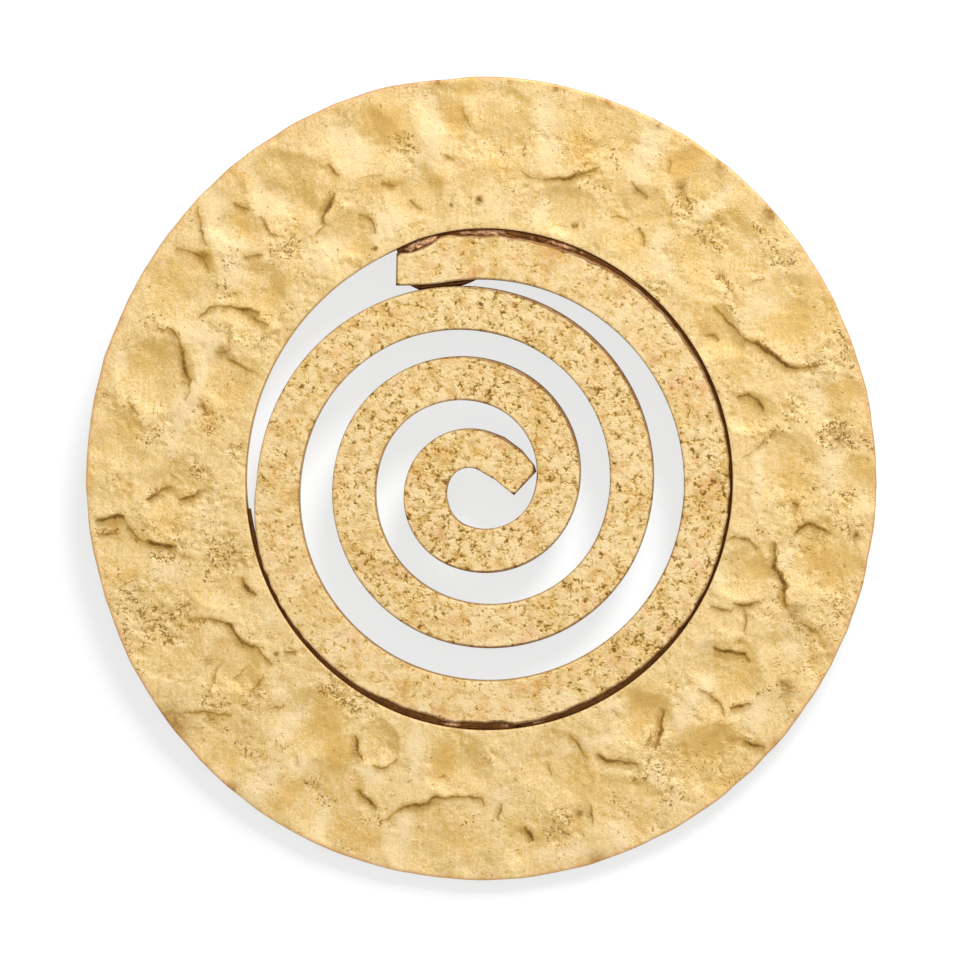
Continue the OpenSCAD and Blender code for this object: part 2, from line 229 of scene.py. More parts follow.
# Small facets that lean to the upper right where the lean is above 0 and away where it is below.
# Their colour is painted light and shade: pale where they face the light, deep and warmer gold
# where they face away.
# clock angle in degrees, distance from the centre, half width along the rim and across it in mm, lean
FACETS = (
    (3, 21.8, 1.2, 0.8, 0.4), (3.5, 24.8, 1.5, 0.8, -0.6), (10.5, 29.5, 0.8, 1.5, 1),
    (12, 26.8, 0.8, 1.2, 0.7), (13.2, 22, 0.4, 1.5, 1), (17.5, 27.5, 1.2, 1.5, -0.8),
    (23, 25.8, 1.2, 0.7, -0.4), (27, 28, 0.6, 1.2, 0.6), (27.5, 29.8, 0.8, 1.8, 1),
    (31.5, 30, 1, 1.5, -0.6), (33, 22, 1.8, 1, -0.4), (34, 30.3, 1, 1.2, -0.6), (37, 24, 0.5, 1, 1),
    (39, 22.8, 1, 0.8, 0.5), (40.5, 29, 0.4, 2, 1), (42, 24.5, 1.2, 1, -0.5),
    (43, 22.3, 2, 0.8, 0.5), (44, 29.5, 1.2, 1.4, -0.4), (48, 23.8, 1.4, 0.8, -0.5),
    (48, 28.6, 1.6, 0.5, 0.4), (54, 22, 2, 1, -0.5), (58.5, 26.5, 0.8, 1.8, 0.6),
    (63.5, 28, 1.5, 2.2, -0.5), (65, 22.5, 1.5, 1.5, -0.5), (73, 29, 0.8, 1, 0.6),
    (76, 27.5, 1.8, 0.8, 0.8), (76.5, 30, 1, 1.3, -0.5), (79, 22.3, 1.6, 0.8, -0.3),
    (87.5, 28, 1.6, 1, 0.8), (88.5, 30.5, 0.8, 0.8, -0.5), (89, 22.2, 2.4, 0.5, 0.7),
    (91, 25.3, 3, 0.8, -0.6), (92.5, 30.5, 0.8, 0.6, 0.8), (102.5, 27.3, 1.2, 1.2, -0.5),
    (103.5, 25.3, 1, 0.6, 1), (104, 29.2, 2, 1.6, -0.5), (108, 23.5, 1.2, 1, -0.5),
    (112, 20.8, 1.5, 0.4, 0.6), (112.5, 26.3, 0.8, 0.6, -0.4), (118, 28.3, 1, 0.8, 0.8),
    (126, 22.3, 0.8, 1, 0.5), (127.5, 26, 1.6, 1.2, -0.5), (131, 28.8, 1.2, 0.9, 1),
    (134, 24.5, 1.6, 0.6, 0.7), (139, 27.8, 2.4, 1.6, -0.6), (140, 24.7, 1, 0.7, 0.8),
    (140.5, 31.2, 2, 0.6, -0.5), (143, 22, 2, 1.2, -0.6), (147, 23.6, 1.6, 0.6, -0.5),
    (148, 27.8, 0.8, 1.4, 0.4), (149, 21.2, 0.8, 0.8, 0.8), (156.5, 22.8, 2, 0.5, 0.7),
    (159, 30.5, 0.6, 1, 0.8), (160.5, 26, 1.6, 2, -0.5), (163, 22.4, 1, 0.6, 0.4),
    (164.5, 28.8, 0.8, 0.8, -0.6), (167.5, 30.7, 1.8, 0.6, 0.8), (174.5, 28, 0.8, 1, -0.4),
    (176.5, 26, 0.8, 0.8, 0.6), (183, 29, 1.6, 1.4, -0.5), (185.5, 27, 1.4, 0.8, -0.3),
    (187.5, 22.8, 0.9, 1.8, -0.8), (192.5, 28.4, 0.8, 0.8, 0.7), (193, 30, 1, 1.8, 0.6),
    (193.5, 22.2, 0.6, 1.8, 1), (199.5, 30.5, 2.2, 1.4, -0.7), (201.5, 25.3, 1.2, 0.5, 1),
    (205, 30.5, 0.6, 1.5, 1), (207.5, 24.8, 1.3, 1.4, -1), (211.5, 29.8, 0.9, 2.2, -0.6),
    (212, 27.2, 1, 0.8, 0.7), (213.5, 22.8, 1.6, 1.8, -0.6), (216, 30, 0.6, 2, 1),
    (218, 24.8, 0.7, 1.8, 1), (223, 30.5, 2, 1, -0.3), (223.5, 23.3, 1, 0.6, 0.7),
    (229.5, 25.5, 1.2, 2, -0.4), (238, 20.3, 0.8, 0.6, 0.6), (244.5, 27.5, 1.2, 0.5, 0.4),
    (247, 30.2, 1.2, 0.6, 0.4), (247.5, 24.8, 1.2, 0.8, -0.4), (251.5, 26.5, 0.7, 1.6, -0.4),
    (253.5, 26.5, 0.7, 1.5, 0.6), (254.8, 29.6, 0.5, 1.2, -0.7), (262, 25.5, 1.6, 1.2, -0.5),
    (263, 29.4, 0.4, 0.4, -1), (264.5, 22.3, 1.2, 0.7, 0.6), (268.3, 28.5, 0.8, 0.8, -0.5),
    (271, 31.2, 1.2, 0.4, -0.5), (278, 28.3, 1.5, 0.8, -0.5), (278.5, 24.8, 1.6, 0.7, 0.6),
    (282.5, 22.2, 2, 0.7, -0.6), (283.5, 24.6, 1, 0.8, 0.6), (288, 30.2, 1.6, 0.5, 0.7),
    (289, 20.8, 2.2, 1, -0.5), (289, 28.4, 2, 1.7, -0.3), (291, 24, 2.4, 0.5, 1),
    (297.5, 25.5, 0.8, 1.2, 1), (303, 26.9, 1.6, 0.4, 0.4), (303, 29.5, 1.8, 1.4, -0.4),
    (309, 28.5, 0.6, 0.8, -1), (311, 26, 1, 1.2, 0.8), (312, 22.3, 2.4, 0.9, -0.5),
    (313.5, 28.3, 0.9, 1.6, 1), (316.5, 30.5, 1, 1.2, 0.8), (317.3, 28, 0.6, 1.3, -0.8),
    (321.5, 30.8, 0.6, 1, -0.6), (323.5, 28, 1.2, 1.8, 0.6), (326.5, 22, 1.4, 1.2, 0.7),
    (331, 26.5, 2, 1.8, -0.4), (332.5, 20.8, 1.2, 0.6, -0.5), (336, 22.3, 0.6, 0.8, -0.7),
    (338.5, 29.8, 1.2, 1.5, 0.7), (339.5, 21.8, 1.4, 0.9, 1), (340, 27.6, 1.1, 1.2, 0.7),
    (341.5, 24.8, 1.8, 0.8, -0.6), (345.5, 29.7, 1.8, 1.7, -0.8), (348.5, 25.5, 1, 0.8, 0.4),
    (352.5, 24.4, 1, 0.8, -0.6), (352.7, 29, 0.9, 3, 1), (356.3, 29, 0.8, 1.2, -0.9),
    (358, 24.3, 0.8, 0.8, -0.4), (358.5, 31.3, 0.8, 0.6, -0.8),
)

# Pits in rows along the edges of the hammer marks.
# strength from 0 to 1, then points as clock angle in degrees and distance from the centre in mm
PIT_ROWS = (
    (0.7, (3.5, 26.4), (4.8, 26.3), (5.2, 25.7)), (0.6, (8, 26.2), (8.5, 25.5), (8.8, 24.8)),
    (0.9, (20.5, 28.4), (22.3, 28.5), (23.3, 27.8), (24.5, 27.2)),
    (0.6, (49.7, 25), (50.3, 25.4), (52, 25.3), (52.8, 24.7)),
    (0.7, (46.5, 29.3), (48.5, 30), (52, 29.9)), (0.9, (53.3, 29), (54.5, 29.9), (55.3, 30.8)),
    (0.8, (41.5, 26.6), (43, 26.4), (45, 26.7), (47, 26.6)), (0.5, (55, 24.5), (57, 24.3), (59, 24.3)),
    (0.6, (17, 25.4), (20, 25.3), (22, 25.3), (24, 25.6)),
    (0.9, (34.3, 28.8), (35.5, 28), (37.5, 27.8), (38.5, 27)), (0.6, (35.5, 28.2), (35.3, 27)),
    (0.8, (66.3, 30.8), (67.5, 31.1), (69.5, 31.2), (70.5, 31)),
    (0.5, (70.5, 30.6), (72, 30.8), (73.5, 31.4)), (0.7, (72, 29.6), (73.5, 29.6)),
    (0.7, (70.8, 30), (71.5, 29.3), (71, 28.5), (70.8, 27.8)),
    (0.7, (75, 25.9), (77, 25.6), (79, 26.2), (80, 26.6)),
    (1, (81.3, 29.5), (81, 28.3), (81.5, 27.6), (82.8, 27.4), (83.6, 27.6)),
    (1, (83, 29.2), (83.7, 28.4), (84.3, 27.7)), (1, (82.5, 29), (83.7, 29.7), (85, 30)),
    (1, (84, 30.8), (85, 31.4)), (0.7, (80.5, 25.2), (80.3, 24), (82, 23.3)),
    (0.5, (78, 24.8), (79, 25.4)), (0.7, (96.3, 30.8), (97, 30), (97.5, 29.3)),
    (0.5, (90, 26.3), (91.5, 26.5)), (0.6, (86.5, 31), (87.5, 30.8), (88.5, 30.3)),
    (0.8, (91.5, 29.9), (92.5, 29)), (0.5, (97.5, 26.1), (99.5, 25.7), (101, 25.2)),
    (0.5, (99.8, 24.3), (100.3, 23.2), (100, 22)), (0.5, (110, 30.9), (112, 30.8), (114, 31)),
    (0.6, (111, 28.4), (111.8, 28.2)), (0.6, (107, 24.6), (109.5, 25), (112, 25.6)),
    (0.5, (94, 26.3), (96, 27.3)), (1, (123, 31.3), (124, 30), (123.5, 29), (122.5, 28.8)),
    (1, (126.5, 31.3), (126, 30.3), (125, 29.3)), (0.9, (124.5, 28.8), (126, 28.5), (127.5, 28.1)),
    (0.8, (121, 27.9), (122.5, 27.7)),
    (0.6, (147, 30.4), (148.5, 29.5), (148, 28.3), (148.3, 27.2), (149, 26.2)),
    (0.6, (149.5, 30.3), (150.5, 29.2)), (0.6, (151, 27.2), (152.5, 26.9)),
    (0.7, (165.5, 28.2), (166.5, 27.6), (168, 28)), (0.7, (166, 29.5), (168, 28.8), (169.5, 29.3)),
    (0.7, (176.5, 27.3), (178, 27.4), (179.5, 27)), (0.6, (157.5, 31), (158.5, 30.2)),
    (0.8, (180.5, 28), (181, 27.5), (182, 27)), (0.6, (182, 24.9), (184, 24.8)),
    (0.7, (195.5, 28.4), (196.3, 28.8), (197, 28.3)), (0.8, (209, 27.8), (210, 28.3), (211, 27.9)),
    (0.9, (205.7, 28.6), (207.5, 28.5), (208.5, 28.6)), (0.6, (204, 29), (205.5, 29.1)),
    (0.6, (212.5, 27.2), (213.5, 26.8)), (0.6, (219, 28.7), (221, 29), (223, 28.8)),
    (0.6, (223, 27.8), (225, 27.7)), (0.7, (225, 28.7), (227, 28.8)), (0.7, (229, 27.6), (230.3, 27.2)),
    (0.9, (207, 20.7), (209, 20.9), (210, 20.4), (212, 21), (214, 20.9), (216, 20.4), (217, 20.9)),
    (0.5, (216.5, 26.7), (218.5, 26.8)), (0.6, (220.8, 24.3), (222, 24.8)),
    (0.7, (228.8, 21.7), (230, 21.7), (231, 22)), (0.6, (231, 28.8), (232, 27.8), (233, 27)),
    (0.9, (242, 28.2), (243.5, 28), (245, 28.3), (246.5, 28.2)),
    (0.9, (246.3, 29), (248, 29.2), (249.5, 29.2)), (0.7, (242.5, 28.9), (243, 28.3)),
    (0.8, (248.5, 28.7), (248.6, 28.1)), (0.7, (249, 30.6), (250, 30.4)),
    (0.8, (244.5, 30), (244.8, 29.6)), (0.7, (250.5, 29.3), (252, 29.9), (253.2, 30.1)),
    (0.8, (246, 27.3), (246.5, 26.3), (247, 26)), (0.7, (242.5, 24.5), (243, 25.3)),
    (0.8, (250, 23.5), (251.5, 23), (252.5, 22.4), (254, 22.6)),
    (0.8, (253, 21.8), (253.5, 21), (255, 20.5)), (0.9, (255.5, 22), (256.5, 21.8)),
    (1, (257.7, 22.5), (258.6, 22.3)), (0.8, (255.5, 25.6), (256.5, 26.6), (257, 27.2), (258.5, 27.4)),
    (0.8, (260, 28.2), (261.5, 27.9), (263, 28.2)), (0.7, (260.5, 27.3), (262, 27.3)),
    (0.9, (262, 30.8), (262, 29.7), (262.7, 29.4)), (0.9, (271, 22.7), (272.5, 22.6), (273.3, 22.8)),
    (0.6, (280.5, 22), (281.5, 22.4)), (0.6, (284, 22.6), (285, 23)),
    (0.6, (275.3, 20), (277, 20.2), (278, 20.3)), (0.5, (276.5, 27), (277.5, 26.3), (279, 26)),
    (0.7, (280.5, 31.3), (281, 31.5)), (0.7, (282.8, 31.5), (283.2, 30.8)),
    (0.9, (267.5, 26.6), (268.3, 25.9)), (0.6, (292.5, 21.4), (294, 21.6)),
    (0.6, (293, 20.2), (294.5, 20.7)), (0.6, (269.5, 26.6), (270.5, 26.9)),
    (0.8, (243.5, 31.5), (246, 31.2), (247.5, 31.1)), (0.6, (304, 20.7), (305, 20.9)),
    (0.7, (310.5, 20.7), (312.5, 20.8), (313.3, 20.2)), (0.6, (306.5, 23.9), (307.3, 24.6)),
    (0.7, (307, 26.7), (307.5, 25.8), (307, 25.2)), (0.6, (310.5, 26.8), (312, 26.3)),
    (0.6, (316, 24.8), (318, 24.5), (319.5, 24.4), (321, 23.6)), (0.6, (318.5, 24), (320, 23.5)),
    (0.6, (323, 24.2), (324, 23.5)), (0.6, (318, 21.9), (320, 21.7)),
    (0.7, (346.3, 28.4), (347.5, 27.9), (349, 27.2), (349.5, 26.5)), (0.5, (349.3, 28), (349.6, 28.7)),
)

# Patches of fine pits.
# clock angle in degrees, distance from the centre and reach in mm, density from 0 to 1
PITTED_PATCHES = (
    (37.5, 27.6, 1.6, 0.8), (43.5, 26.6, 1.8, 0.7), (50, 25.3, 0.8, 0.6), (49, 29.8, 0.9, 0.6),
    (54.5, 30, 1.2, 0.6), (77.5, 25.9, 1.2, 0.6), (70, 30, 2.2, 0.7), (82.5, 28.8, 1.8, 0.9),
    (84.8, 31, 0.8, 1.0), (98, 30.5, 0.8, 0.8), (92, 29.4, 1.0, 0.6), (97, 27, 3.0, 0.45),
    (110, 30.5, 3.5, 0.5), (112, 27.3, 1.6, 0.7), (140, 30.5, 3.0, 0.5), (148.5, 28, 2.5, 0.7),
    (167.5, 28.3, 1.6, 0.7), (206, 28.4, 0.8, 0.7), (209.5, 27.8, 0.6, 0.8), (220.5, 28.8, 1.0, 0.8),
    (212, 20.5, 2.0, 0.8), (245.5, 28.4, 2.6, 1.0), (253, 21.5, 1.8, 0.9), (256.5, 26.2, 1.4, 0.8),
    (248, 29.5, 4.0, 0.6), (272, 22.5, 1.0, 0.7), (258, 22.4, 0.8, 0.8), (276.5, 19.8, 0.8, 0.8),
    (283, 22.5, 1.2, 0.7), (280, 26.7, 2.0, 0.5), (320, 24.2, 1.8, 0.7), (347.7, 27.6, 1.0, 0.6),
    (43, 20.6, 1.6, 0.6), (303, 21.5, 1.5, 0.5), (262, 24, 4.0, 0.4), (312, 26.5, 1.0, 0.6),
    (307, 25.5, 1.2, 0.5), (296.5, 28.5, 1.4, 0.5), (282, 29.5, 1.6, 0.5), (229.5, 28.3, 1.6, 0.6),
    (228, 25, 1.4, 0.45), (157, 28.5, 1.4, 0.5), (152, 27, 1.0, 0.6), (117, 30.5, 2.5, 0.5),
    (17, 27.8, 1.8, 0.5), (6, 26.5, 1.5, 0.5), (22.5, 27.8, 1.0, 0.5),
)

# Brown stains, the longest along the rim.
# clock angle in degrees, distance from the centre and reach in mm, strength from 0 to 1
STAINS = (
    (34.7, 28.5, 0.6, 0.5), (11.3, 31.9, 0.22, 0.8), (0.3, 22.4, 0.32, 1), (20.8, 21.8, 0.24, 1),
    (83.5, 28.8, 0.8, 0.3), (98.2, 30.4, 0.4, 0.7), (124, 29.6, 0.8, 0.5), (112.5, 27.3, 0.8, 0.35),
    (163.4, 27.9, 0.4, 0.6), (229.5, 21.6, 0.25, 0.6), (297, 23, 0.6, 0.5), (308.7, 28.3, 0.5, 0.3),
    (336, 20.4, 0.25, 0.7), (354.7, 22.2, 0.2, 0.7), (354.3, 31.9, 0.2, 0.8), (19, 31.9, 0.4, 0.4),
    (27, 31.8, 0.4, 0.4), (37.5, 31.8, 0.5, 0.5), (47.5, 31.6, 0.7, 0.5), (131.5, 31.6, 0.5, 0.3),
    (163, 31.9, 0.8, 0.4), (219, 32, 0.5, 0.5), (232, 31.8, 1.8, 0.45), (309.5, 28.5, 0.5, 0.45),
    (236.4, 26.3, 0.4, 0.35),
)

# The spiral strip's middle line, from its outer end inwards. A sweep is clockwise, or
# anticlockwise where it is negative.
STRIP_START = (-6.53, 17.4)
STRIP_HEADING = 91.5
# sweep in degrees, radius in mm
STRIP_BENDS = (
    (-10, 23.3), (30, 17.9), (90, 18.0), (90, 17.5), (90, 16.4), (90, 14.5), (90, 13.4), (90, 11.3),
    (90, 10.6), (90, 8.5), (90, 7.4), (90, 5.8), (90, 4.2), (90, 3.5),
)
# The straight inner end, whose outer side is filed in to clear the next turn.
# distance along the strip, and outwards from the strip's half width, in mm
TIP_OUTER = ((0, 0), (0.9, 0), (2.6, -0.45), (4.0, -1.25), (4.3, -1.65))
TIP_INNER = ((0, 0), (1.5, 0), (3.35, 0.5))
TIP_STEPS = 30
# The strip's first turn, in degrees, reaches to the seam.
FIRST_TURN = 272
# The eye of the spiral, in mm from the centre, and how many of the strip's last points pass it.
EYE = (-0.9, 0.7)
PAST_EYE = 80

# How stippled the strip's face is, graded in quarters from smooth at 0 to most at 1.
# distance from its outer end in mm, how stippled
STRIP_WEAR = (
    (0, 0.25), (15, 0.25), (25, 0.5), (35, 1), (50, 1), (60, 0.25), (78, 0.25), (90, 0.5),
    (105, 0.75), (120, 1),
)

# How dark the thin lines along the strip's edges are, by where they lie round the spiral, graded in
# quarters from none at 0 to dark at 1.
# clock angle in degrees, grade of the outer and of the inner edge
EDGE_LINES = (
    (0, 0.75, 0.75), (20, 1, 0.5), (60, 1, 0.25), (85, 0.5, 0.25), (110, 0.5, 0.5), (140, 0.75, 0),
    (175, 1, 0.25), (215, 0.5, 0.5), (250, 0.25, 0.25), (275, 0, 0.5), (310, 0.25, 0.25),
    (340, 0.5, 0.5), (360, 0.75, 0.75),
)

# The solder in the seam: the clock angles where it starts and ends, the height of its lower side above
# the disc's back in mm, and its section.
SEAM_ENDS = (340.5, 623.5)
SOLDER_FOOT = 0.06
# share of the seam's width from the hole's edge inwards, share of the solder's height
SEAM_SECTION = (
    (-0.02, 0.0), (-0.02, 1.0), (0.12, 0.93), (0.3, 0.96), (0.5, 0.98), (0.7, 0.96), (0.88, 0.93),
    (1.02, 1.0), (1.2, 0.98), (1.2, 0.0),
)

# The joint's dark fill is partly solder and partly painted shade in the narrow gap there.
# The joint at the strip's outer end: how far right of the centre it starts and ends, and the height
# of its lower side, in mm.
JOINT_ENDS = (-5.4, -0.2)
JOINT_FOOT = 0.08

# Lumps of solder in the seam, where it stands high enough to show.
# first and last clock angle in degrees, height above the back of the disc in mm, how lumpy it is
SOLDER_LUMPS = (
    (341.5, 351, 1.12, 1.0),
    (355, 371, 0.98, 0.8),
    (11, 28, 0.9, 0.65),
    (165, 172.5, 0.95, 0.7),
    (173, 176, 0.92, 0.75),
    (184, 190.5, 0.93, 0.65),
    (198, 200, 0.85, 0.7),
)

# Width in mm of the rounding along the clip's edges.
CLIP_ROUNDING = 0.12


def linear(code):
    """Linear colour, with alpha, of an sRGB hex value such as #e0b768."""
    channels = [int(code[i:i + 2], 16) / 255 for i in (1, 3, 5)]
    return [c / 12.92 if c <= 0.04045 else ((c + 0.055) / 1.055) ** 2.4 for c in channels] + [1]


def colour_property(name, description, code):
    return bpy.props.FloatVectorProperty(
        name=name, description=description, subtype="COLOR", size=4, min=0, max=1, default=linear(code)
    )


def length_property(name, description, metres):
    return bpy.props.FloatProperty(
        name=name, description=description, default=metres, min=0, precision=5, unit="LENGTH",
        subtype="DISTANCE",
    )


class EarringSizes(bpy.types.PropertyGroup):
    """Sizes that the frame's solids don't hold."""
    sheet_thickness: length_property("Sheet thickness", "Thickness of the hammered sheet", 0.001)
    strip_thickness: length_property("Strip thickness", "Thickness of the spiral strip", 0.0012)
    strip_width: length_property("Strip width", "Width of the flat spiral strip", 0.0035)
    edge_radius: length_property("Edge radius", "Roundness of the disc's and the strip's edges", 0.00013)
    crease_height: length_property("Crease height", "Height of the deepest creases' steps", 0.00012)
    pit_depth: length_property("Pit depth", "Depth of the deepest pits in the face", 0.00004)
    stipple_depth: length_property("Stipple depth", "Depth of the strip's stippled face", 0.00005)
    mark_depth: bpy.props.FloatProperty(
        name="Mark depth", description="Depth of the hammer marks, 1 as they are listed", default=1.0,
        min=0, max=2,
    )


class EarringColours(bpy.types.PropertyGroup):
    """Colours of the metal, its tarnish and the sheet below."""
    # Pale brass is the polished high places and also the painted highlight on facets that lean to the
    # light.
    pale_brass_and_highlight: colour_property("Pale brass", "Polished high places of the face", "#e5cc9b")
    deep_brass: colour_property("Deep brass", "Body colour of the hammered brass", "#d5b167")
    # Warm brass is painted shade on the disc's facets that lean away from the light, and the metal's own
    # warm tint on the strip and the clip.
    warm_brass_and_shade: colour_property("Warm brass", "Orange tint of worn facets", "#d39a4a")
    strip_brass: colour_property("Strip brass", "Body colour of the spiral strip", "#d8b876")
    # Both tarnish films carry painted shade on the disc as well: on slopes leaning away from the light, in
    # the creases' cores and along their lower sides.
    thin_tarnish_and_shade: colour_property("Thin tarnish", "Thin olive film in hollows and pits", "#e0d2a8")
    thick_tarnish_and_shade: colour_property("Thick tarnish", "Brown film over the thin one in creases", "#aa9c89")
    brown_oxide: colour_property("Brown oxide", "Crust on the cut edges and round the seam", "#6a3a14")
    copper: colour_property("Copper", "Pinkish copper that shows along the rim", "#d08a63")
    burnt_solder: colour_property("Burnt solder", "Dark flux-stained solder", "#6b4112")
    # On the solder's highest lumps this pale colour is partly clean solder and partly a painted highlight.
    bare_solder_and_highlight: colour_property("Bare solder", "Pinkish solder where it is clean", "#c0926c")
    clip_brass: colour_property("Clip brass", "Dull brass of the ear clip", "#c79f55")
    floor: colour_property("Floor", "Body of the sheet, dark as its own glow makes it white", "#454545")


def dial(clock, radius):
    """Place on the face, in mm from the centre, at a clock angle in degrees from the top."""
    turn = np.radians(clock)
    return np.stack([radius * np.sin(turn), radius * np.cos(turn)], axis=-1)


def round_profile(rows, clock, blur=4.0):
    """Value at each clock angle from a table that closes on itself, smoothed over this many degrees."""
    angles, values = np.array(sorted(rows), float).T
    fine = np.arange(0, 360, 1.0)
    stepped = np.interp(fine, angles, values, period=360)
    window = np.exp(-((np.arange(-9, 10) / blur) ** 2))
    padded = np.concatenate([stepped[-9:], stepped, stepped[:9]])
    smooth = np.convolve(padded, window / window.sum(), mode="valid")
    return np.interp(np.asarray(clock) % 360, fine, smooth, period=360)


def ripples(points, seed, shortest, longest, count=48):
    """Even random waves from about -1 to 1, of wavelengths in mm between shortest and longest."""
    rng = np.random.default_rng(seed)
    heading = rng.uniform(0, 2 * math.pi, count)
    number = 2 * math.pi / rng.uniform(shortest, longest, count)
    phase = rng.uniform(0, 2 * math.pi, count)
    total = np.zeros(len(points))
    for turn, rate, start in zip(heading, number, phase):
        total += np.cos(rate * (points[:, 0] * math.cos(turn) + points[:, 1] * math.sin(turn)) + start)
    return total * math.sqrt(2 / count) / 1.6


def planished(points, seed, spacing, tilt):
    """Height in mm of small flats that each lean a little their own way and run softly into one another."""
    rng = np.random.default_rng(seed)
    reach = 34
    count = int((2 * reach / spacing) ** 2)
    middles = rng.uniform(-reach, reach, (count, 2))
    slopes = rng.normal(0, tilt, (count, 2))
    total = np.zeros(len(points))
    weights = np.zeros(len(points))
    width = (0.45 * spacing) ** 2
    order = np.argsort(points[:, 1])
    levels = points[order, 1]
    for middle, slope in zip(middles, slopes):
        first, last = np.searchsorted(levels, (middle[1] - 2 * spacing, middle[1] + 2 * spacing))
        near = order[first:last]
        away = points[near] - middle
        weight = np.exp(-(((away**2).sum(1) / width) ** 1.2))
        total[near] += weight * (away @ slope)
        weights[near] += weight
    return total / (weights + 0.02)


def smooth_line(points, steps=6):
    """Curve through the points, with this many steps from one to the next."""
    ends = np.concatenate([[2 * points[0] - points[1]], points, [2 * points[-1] - points[-2]]])
    t = np.linspace(0, 1, steps, endpoint=False)[:, None]
    curve = []
    for a, b, c, d in zip(ends, ends[1:], ends[2:], ends[3:]):
        bow = (2 * a - 5 * b + 4 * c - d) * t**2
        curve.append(0.5 * (2 * b + (c - a) * t + bow + (3 * b - a - 3 * c + d) * t**3))
    return np.concatenate(curve + [points[-1:]])


def along_line(points, line):
    """For each point, its distance to the line, its side of it, and how far along it, from 0 to 1."""
    nearest = np.full(len(points), np.inf)
    side = np.ones(len(points))
    along = np.zeros(len(points))
    lengths = np.linalg.norm(np.diff(line, axis=0), axis=1)
    reached = np.concatenate([[0], np.cumsum(lengths)])
    for i, (start, step) in enumerate(zip(line, np.diff(line, axis=0))):
        part = np.clip((points - start) @ step / (step @ step), 0, 1)
        away = points - (start + part[:, None] * step)
        distance = np.hypot(away[:, 0], away[:, 1])
        closer = distance < nearest
        nearest[closer] = distance[closer]
        side[closer] = np.sign(step[0] * away[closer, 1] - step[1] * away[closer, 0])
        along[closer] = (reached[i] + part[closer] * lengths[i]) / reached[-1]
    return nearest, side, along


def marked_line(places):
    """Smooth line in mm through places given as clock angle and distance from the centre."""
    return smooth_line(np.array([dial(clock, radius) for clock, radius in places]))


def around_line(points, line, margin):
    """Indices of the points in the box round a line, with this margin in mm."""
    return np.flatnonzero(((points > line.min(0) - margin) & (points < line.max(0) + margin)).all(1))


def hammer_marks(points):
    """Height in mm of the hollows, and how near each point is to a ridge between two of them."""
    height = np.zeros(len(points))
    second = np.zeros(len(points))
    for clock, radius, reach, depth in HAMMER_MARKS:
        away = points - dial(clock, radius)
        lens = -depth * (1 - (away**2).sum(1) / reach**2)
        second = np.minimum(second, np.maximum(height, lens))
        height = np.minimum(height, lens)
    return height, np.exp(-(second - height) / RIDGE_SOFTNESS)


def fold_creases(points, loose, height, step_height):
    """Presses the creases into the height. Returns how far each point is from the strongest crease
    near it, in mm and negative on the crease's lower side, and how strong that crease is there."""
    gap = np.ones(len(points))
    force = np.zeros(len(points))
    for strength, *places in CREASES:
        line = marked_line(places)
        near = around_line(points, line, 4)
        distance, side, along = along_line(loose[near], line)
        span = line[-1] - line[0]
        if np.dot([-span[1], span[0]], UPPER_RIGHT) < 0:
            side = -side
        # A crease is strongest half way along.
        taper = np.clip(12 * along * (1 - along), 0, 1)
        taper *= 0.65 + 0.35 * np.exp(-(((along - 0.5) / 0.3) ** 2))
        taper = taper * np.exp(-(np.clip(distance - 0.8, 0, None) / 1.3) ** 2)
        step = np.tanh(side * distance / 0.2) * np.exp(-distance / 1.2)
        groove = np.exp(-((distance / 0.18) ** 2))
        height[near] += strength * taper * step_height * (0.5 * step - 0.3 * groove)
        here = strength * taper * np.exp(-((distance / 1.0) ** 2))
        stronger = here > force[near]
        force[near[stronger]] = here[stronger]
        gap[near[stronger]] = (side * distance)[stronger]
    return gap, force


def tilt_facets(points, height):
    """Tilts the facets in the height, and returns how much each point leans to the upper right, which
    the face's colour takes as painted light above 0 and painted shade below.
    """
    lean = np.zeros(len(points))
    for clock, radius, half_along, half_across, amount in FACETS:
        away = points - dial(clock, radius)
        turn = math.radians(clock)
        across = away @ [math.sin(turn), math.cos(turn)]
        beside = away @ [math.cos(turn), -math.sin(turn)]
        patch = np.exp(-(((beside / half_along) ** 2 + (across / half_across) ** 2) ** 1.3) * 0.8)
        height += -0.03 * amount * patch * (away @ UPPER_RIGHT)
        lean += amount * patch
    return lean


